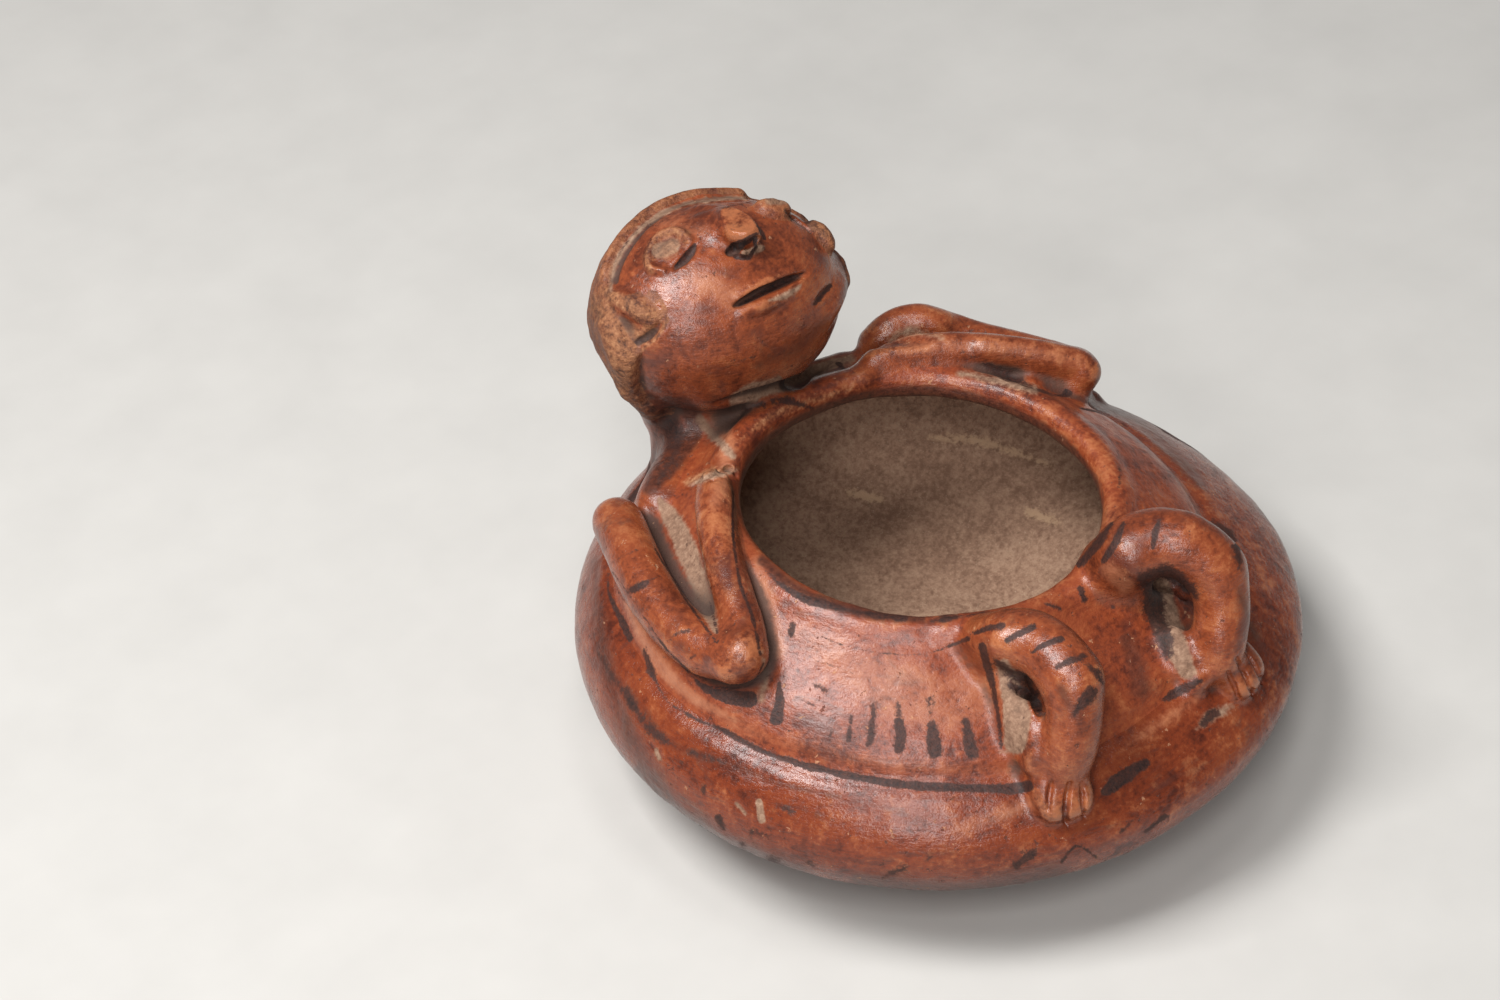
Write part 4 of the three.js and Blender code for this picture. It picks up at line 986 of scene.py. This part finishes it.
# ---------------- materials
class Shade:
    """Short names for the nodes of one material."""

    def __init__(self, name):
        self.made = bpy.data.materials.new(name)
        self.made.use_nodes = True
        self.tree = self.made.node_tree
        self.shader = self.tree.nodes["Principled BSDF"]
        self.place = self.node("TexCoord").outputs["Object"]

    def node(self, kind, values=(), **settings):
        node = self.tree.nodes.new("ShaderNode" + kind)
        for key, value in settings.items():
            setattr(node, key, value)
        for socket, value in dict(values).items():
            self.put(node.inputs[socket], value)
        return node

    def put(self, socket, value):
        if isinstance(value, bpy.types.NodeSocket):
            self.tree.links.new(value, socket)
        else:
            socket.default_value = value

    def layer(self, name):
        return self.node("Attribute", attribute_name=name).outputs["Fac"]

    def noise(self, scale, detail=3.0, roughness=0.55, distortion=0.0, drawn=1):
        """Noise in the piece's own axes, drawn out sideways."""
        place = self.place
        if drawn != 1:
            place = self.node("Mapping", {"Vector": place, "Scale": (1, 1, drawn)}).outputs[0]
        return self.node("TexNoise", {"Vector": place, "Scale": scale, "Detail": detail,
                                      "Roughness": roughness, "Distortion": distortion}).outputs["Fac"]

    def math(self, operation, a, b):
        return self.node("Math", {0: a, 1: b}, operation=operation).outputs[0]

    def total(self, *parts):
        """The sum of (socket, weight) pairs."""
        out = None
        for value, weight in parts:
            term = self.math("MULTIPLY", value, weight)
            out = term if out is None else self.math("ADD", out, term)
        return out

    def step(self, value, low, high, most=1.0, least=0.0):
        return self.node("MapRange", {"Value": value, "From Min": low, "From Max": high, "To Min": least,
                                      "To Max": most}, interpolation_type="SMOOTHSTEP").outputs[0]

    def blend(self, share, a, b):
        tint = (*b, 1) if isinstance(b, tuple) else b
        return self.node("Mix", {0: share, 6: a, 7: tint}, data_type="RGBA").outputs[2]

    def number(self, share, a, b):
        return self.node("Mix", {0: share, 2: a, 3: b}, data_type="FLOAT").outputs[0]

    def ramp(self, value, stops):
        node = self.node("ValToRGB", {"Fac": value})
        elements = node.color_ramp.elements
        while len(elements) < len(stops):
            elements.new(0.5)
        for element, (place, colour) in zip(elements, stops):
            element.position = place
            element.color = (*colour, 1)
        return node.outputs["Color"]

    def finished(self, **sockets):
        for name, value in sockets.items():
            self.put(self.shader.inputs[name.replace("_", " ")], value)
        return self.made


def plain(name, colour, roughness):
    """A plain surface with faint clouds."""
    shade = Shade(name)
    low, high = (tuple(c * k for c in colour) for k in (0.97, 1.03))
    clouds = shade.ramp(shade.noise(30.0), [(0.3, low), (0.7, high)])
    return shade.finished(Base_Color=clouds, Roughness=roughness)


# colours of what lies on the slip or under it, and of painted shade and painted highlights; a ramp has
# places from 0 to 1
SMOKE, RUBBED = (0.085, 0.024, 0.016), (0.42, 0.155, 0.065)
ENCLOSED_SHADE, CREASE_SHADE = (0.11, 0.055, 0.033), (0.045, 0.026, 0.02)
CHIP, PIT = (0.48, 0.25, 0.135), (0.055, 0.02, 0.013)
PALE_EARTH, GRIT = (0.42, 0.27, 0.165), (0.40, 0.29, 0.20)
THIN_SLIP_AND_HIGHLIGHT = ((0.3, (0.29, 0.092, 0.042)), (0.7, (0.39, 0.155, 0.082)))
SOOT_AND_SHADE = ((0.35, (0.030, 0.012, 0.009)), (0.7, (0.11, 0.032, 0.018)))
BLACK = ((0.38, (0.010, 0.006, 0.006)), (0.64, (0.060, 0.020, 0.013)))
TAN_CLAY = ((0.36, (0.075, 0.029, 0.016)), (0.5, (0.25, 0.098, 0.042)), (0.66, (0.38, 0.185, 0.09)))
GREY_CLAY = ((0.3, (0.13, 0.073, 0.047)), (0.52, (0.235, 0.14, 0.09)), (0.72, (0.36, 0.235, 0.16)))
HAIR_CLAY = ((0.40, (0.045, 0.018, 0.011)), (0.50, (0.18, 0.065, 0.027)), (0.63, (0.32, 0.135, 0.058)))
EARTH = ((0.41, (0.17, 0.092, 0.058)), (0.50, (0.25, 0.145, 0.094)), (0.60, (0.33, 0.205, 0.135)))
# scale, detail, roughness, distortion, how far drawn out sideways, and whether by the finish's band too
NOISES = {
    "wide": (34.0, 3.0, 0.6, 0.6, 1, True),
    "cloud": (60.0, 3.0, 0.65, 0.8, 1.6, True),
    "middle": (150.0, 4.0, 0.62, 0.4, 1, False),
    "rubbed": (300.0, 3.0, 0.6, 0.0, 5, False),
    "fine": (620.0, 4.0, 0.7, 0.0, 1, False),
    "grit": (1900.0, 2.0, 0.6, 0.0, 1, False),
    "chips": (260.0, 4.0, 0.75, 0.3, 1, False),
    "pits": (420.0, 3.0, 0.7, 0.0, 1, False),
    "flake": (820.0, 5.0, 0.8, 0.0, 1, False),
}
# weights of the layer, the middle grain and the fine grain, where it starts and is full, and its most
WEAR = {
    "pale": (1.0, 0.9, 0.6, 0.9, 1.8, 0.85),
    "edge": (0.6, 1.0, 0.8, 1.02, 1.4, 0.5),
    "dark": (1.0, 1.0, 0.5, 1.0, 1.65, 0.88),
    "tan": (1.0, 0.7, 0.5, 0.9, 1.35, 0.9),
    "clay": (1.0, 0.8, 0.5, 0.95, 1.35, 0.92),
    "enclosed_shade": (1.0, 0.5, 0.4, 1.0, 1.5, 0.6),
    "hollow": (1.0, 0.0, 0.5, 0.5, 1.0, 0.85),
}
TONE_PLACES = (0.44, 0.55, 0.70)
COAT_MOST, COAT_ROUGHNESS, SPECULAR = 0.2, 0.18, 0.34
BUMP, BARE_BUMP, GLOSS_BUMP = 0.00045, 0.0012, 0.0004


def fired(name, tones, shine, bare=0.0, band=1.0):
    """Slipped clay: three tones, how rough it is, how bare it is, how far its clouds lie in bands."""
    s = Shade(name)
    wide, cloud, middle, rubbed, fine, grit, chips, pits, flake = (
        s.noise(*values, drawn * band if banded else drawn) for *values, drawn, banded in NOISES.values())
    tone = s.total((wide, 0.30), (middle, 0.34), (fine, 0.30), (rubbed, 0.16))
    colour = s.ramp(tone, list(zip(TONE_PLACES, tones)))
    rough = s.step(tone, 0.44, 0.66, shine, shine + 0.12)

    def cover(share, tint, roughness):
        nonlocal colour, rough
        colour = s.blend(share, colour, tint)
        rough = s.number(share, rough, roughness)

    def worn(layer):
        own, by_middle, by_fine, start, full, most = WEAR[layer]
        grain = s.total((s.layer(layer), own), (middle, by_middle), (fine, by_fine))
        return s.step(grain, start, full, most)

    # smoke clouds, then worn and rubbed slip with painted highlights, then darker slip and soot with
    # painted shade
    cover(s.step(s.total((cloud, 1.0), (fine, 0.25)), 0.66, 0.84, 0.75), SMOKE, shine + 0.08)
    cover(worn("pale"), s.ramp(middle, THIN_SLIP_AND_HIGHLIGHT), shine + 0.08)
    cover(worn("edge"), RUBBED, shine + 0.05)
    cover(worn("dark"), s.ramp(fine, SOOT_AND_SHADE), shine + 0.16)
    # clay under the slip, bare clay with grit, and painted shade where the clay is enclosed and in concave
    # creases
    cover(worn("tan"), s.ramp(fine, TAN_CLAY), 0.7)
    cover(worn("clay"), s.ramp(fine, GREY_CLAY), 0.85)
    cover(worn("enclosed_shade"), ENCLOSED_SHADE, 0.85)
    cover(worn("hollow"), CREASE_SHADE, 0.8)
    # chips and dark pits
    chip = s.step(chips, 0.66, 0.70, 0.6)
    cover(chip, CHIP, 0.7)
    pit = s.step(pits, 0.66, 0.71, 0.7)
    cover(pit, PIT, 0.7)
    # painted strokes, worn through, and painted shade in holes, pits and slits
    painted = s.total((s.layer("paint_and_shade"), 1.0), (middle, 1.2), (flake, 1.3), (wide, 0.2))
    cover(s.step(painted, 1.74, 2.06, 0.95), s.ramp(flake, BLACK), 0.62)
    # the inside, never slipped
    earth = s.ramp(s.total((wide, 0.16), (middle, 0.3), (fine, 0.54)), EARTH)
    pale = s.step(s.total((s.layer("pale"), 1.0), (fine, 1.1), (middle, 0.5)), 1.25, 1.6, 0.85)
    earth = s.blend(pale, earth, PALE_EARTH)
    earth = s.blend(s.step(grit, 0.62, 0.72, 0.6), earth, GRIT)
    inside = s.step(s.total((s.layer("inside"), 1.0), (middle, 0.35)), 0.45, 0.95)
    cover(inside, earth, 0.93)
    if bare:
        lost = s.step(s.total((middle, 0.6), (fine, 0.4)), 0.36, 0.60, bare, bare - 0.3)
        cover(lost, s.ramp(s.total((middle, 0.5), (fine, 0.5)), HAIR_CLAY), 0.72)
    height = s.total((middle, 0.7), (fine, 0.6), (grit, 0.25), (rubbed, 0.5), (chip, -0.3), (pit, -0.5),
                     (inside, 0.3))
    bump = s.node("Bump", {"Height": height, "Strength": 0.7, "Distance": BUMP + BARE_BUMP * bare})
    gloss = s.node("Bump", {"Height": height, "Strength": 0.3, "Distance": GLOSS_BUMP})
    return s.finished(Base_Color=colour, Roughness=rough, Normal=bump.outputs["Normal"],
                      Coat_Weight=s.step(rough, shine + 0.08, shine + 0.26, 0.0, COAT_MOST),
                      Coat_Roughness=COAT_ROUGHNESS, Coat_Normal=gloss.outputs["Normal"],
                      Specular_IOR_Level=SPECULAR)


# the lower bowl's tones are darker than those of the pot above: the pot is darker towards the bottom
BOWL_TONES = ((0.06, 0.011, 0.005), (0.165, 0.030, 0.010), (0.255, 0.062, 0.021))
POT_TONES = ((0.08, 0.016, 0.008), (0.215, 0.043, 0.015), (0.32, 0.085, 0.030))
HAIR_TONES = ((0.07, 0.018, 0.009), (0.175, 0.046, 0.018), (0.29, 0.097, 0.037))
FIGURE_TONES = ((0.085, 0.018, 0.008), (0.215, 0.048, 0.017), (0.325, 0.100, 0.038))
FINISHES = {
    "pot": fired("burnished_pot_slip", POT_TONES, 0.30, band=2.2),
    "figure": fired("burnished_figure_slip", FIGURE_TONES, 0.22),
    "bowl": fired("burnished_bowl_slip", BOWL_TONES, 0.20, band=2.2),
    "hair": fired("rough_hair_clay", HAIR_TONES, 0.4, bare=0.6),
    "features": fired("rubbed_feature_slip", FIGURE_TONES, 0.36, bare=0.45),
}
FINISH_OF = {"lower_bowl": "bowl", "shoulder_wall": "pot", "rim_coil": "pot", "neck": "pot",
             "hair_cap": "hair", "right_ear": "hair", "left_ear": "hair",
             "right_eye": "features", "left_eye": "features"}


def linked(name, data):
    """A new object in the scene."""
    made = bpy.data.objects.new(name, data)
    bpy.context.scene.collection.objects.link(made)
    return made


begin = 0
for name, points, quads in skins:
    mesh = mesh_from(name + "_clay", moved[begin:begin + len(points)], quads)
    for layer, values in LAYERS.items():
        attribute = mesh.attributes.new(layer, "FLOAT", "POINT")
        attribute.data.foreach_set("value", values[begin:begin + len(points)].astype(np.float32))
    begin += len(points)
    piece = linked(name + "_clay", mesh)
    mesh.materials.append(FINISHES[FINISH_OF.get(name, "figure")])
    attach(piece, "root")
    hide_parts(name)

# ---------------- floor, lights and camera
FLOOR_HALF = 4
floor_mesh = bpy.data.meshes.new("floor")
corners = [(x * FLOOR_HALF, y * FLOOR_HALF, 0) for x, y in ((-1, -1), (1, -1), (1, 1), (-1, 1))]
floor_mesh.from_pydata(corners, [], [(0, 1, 2, 3)])
floor = linked("floor", floor_mesh)
floor_mesh.materials.append(plain("pale_floor", (0.50, 0.485, 0.46), 0.9))

for old in [o for o in bpy.data.objects if o.type in {"LIGHT", "CAMERA"} or o.name == "Cube"]:
    bpy.data.objects.remove(old)


def stood(made, right, up, back, place):
    """Stand a lamp or camera at a place, by its axes."""
    axes = np.stack([right, up, back, place], -1)
    made.matrix_world = Matrix([*axes.tolist(), [0, 0, 0, 1]])


AIM = (0, 0, 0.06)
# bearing and elevation in degrees, distance, width and height in metres, and watts
LAMPS = {
    "key": (163, 62, 1.3, 0.5, 0.5, 19.5),
    "front": (-139, 50, 1.5, 0.36, 0.34, 7.5),
    "overhead": (-110, 82, 1.5, 0.30, 0.30, 3.0),
    "low_front": (-142, 28, 1.5, 0.40, 0.16, 7.0),
}
for name, (bearing, elevation, distance, width, height, power) in LAMPS.items():
    light = bpy.data.lights.new(name, "AREA")
    light.shape = "RECTANGLE"
    light.size, light.size_y, light.energy = width, height, power
    b, e = math.radians(bearing), math.radians(elevation)
    away = np.array([math.cos(e) * math.cos(b), math.cos(e) * math.sin(b), math.sin(e)])
    side = np.array([-math.sin(b), math.cos(b), 0.0])
    stood(linked(name, light), side, np.cross(away, side), away, away * distance + AIM)

WORLD_STRENGTH = 0.14
world = bpy.data.worlds.new("studio")
bpy.context.scene.world = world
world.use_nodes = True
background = world.node_tree.nodes["Background"]
background.inputs["Color"].default_value = (1, 1, 1, 1)
background.inputs["Strength"].default_value = WORLD_STRENGTH

camera_data = bpy.data.cameras.new("camera")
camera_data.lens, camera_data.sensor_width = LENS, SENSOR
camera_data.clip_start = 10 * MM
camera = linked("camera", camera_data)
stood(camera, CAM_RIGHT, CAM_UP, -CAM_AHEAD, CAM_PLACE * MM)
bpy.context.scene.camera = camera
bpy.context.scene.view_settings.view_transform = "Standard"
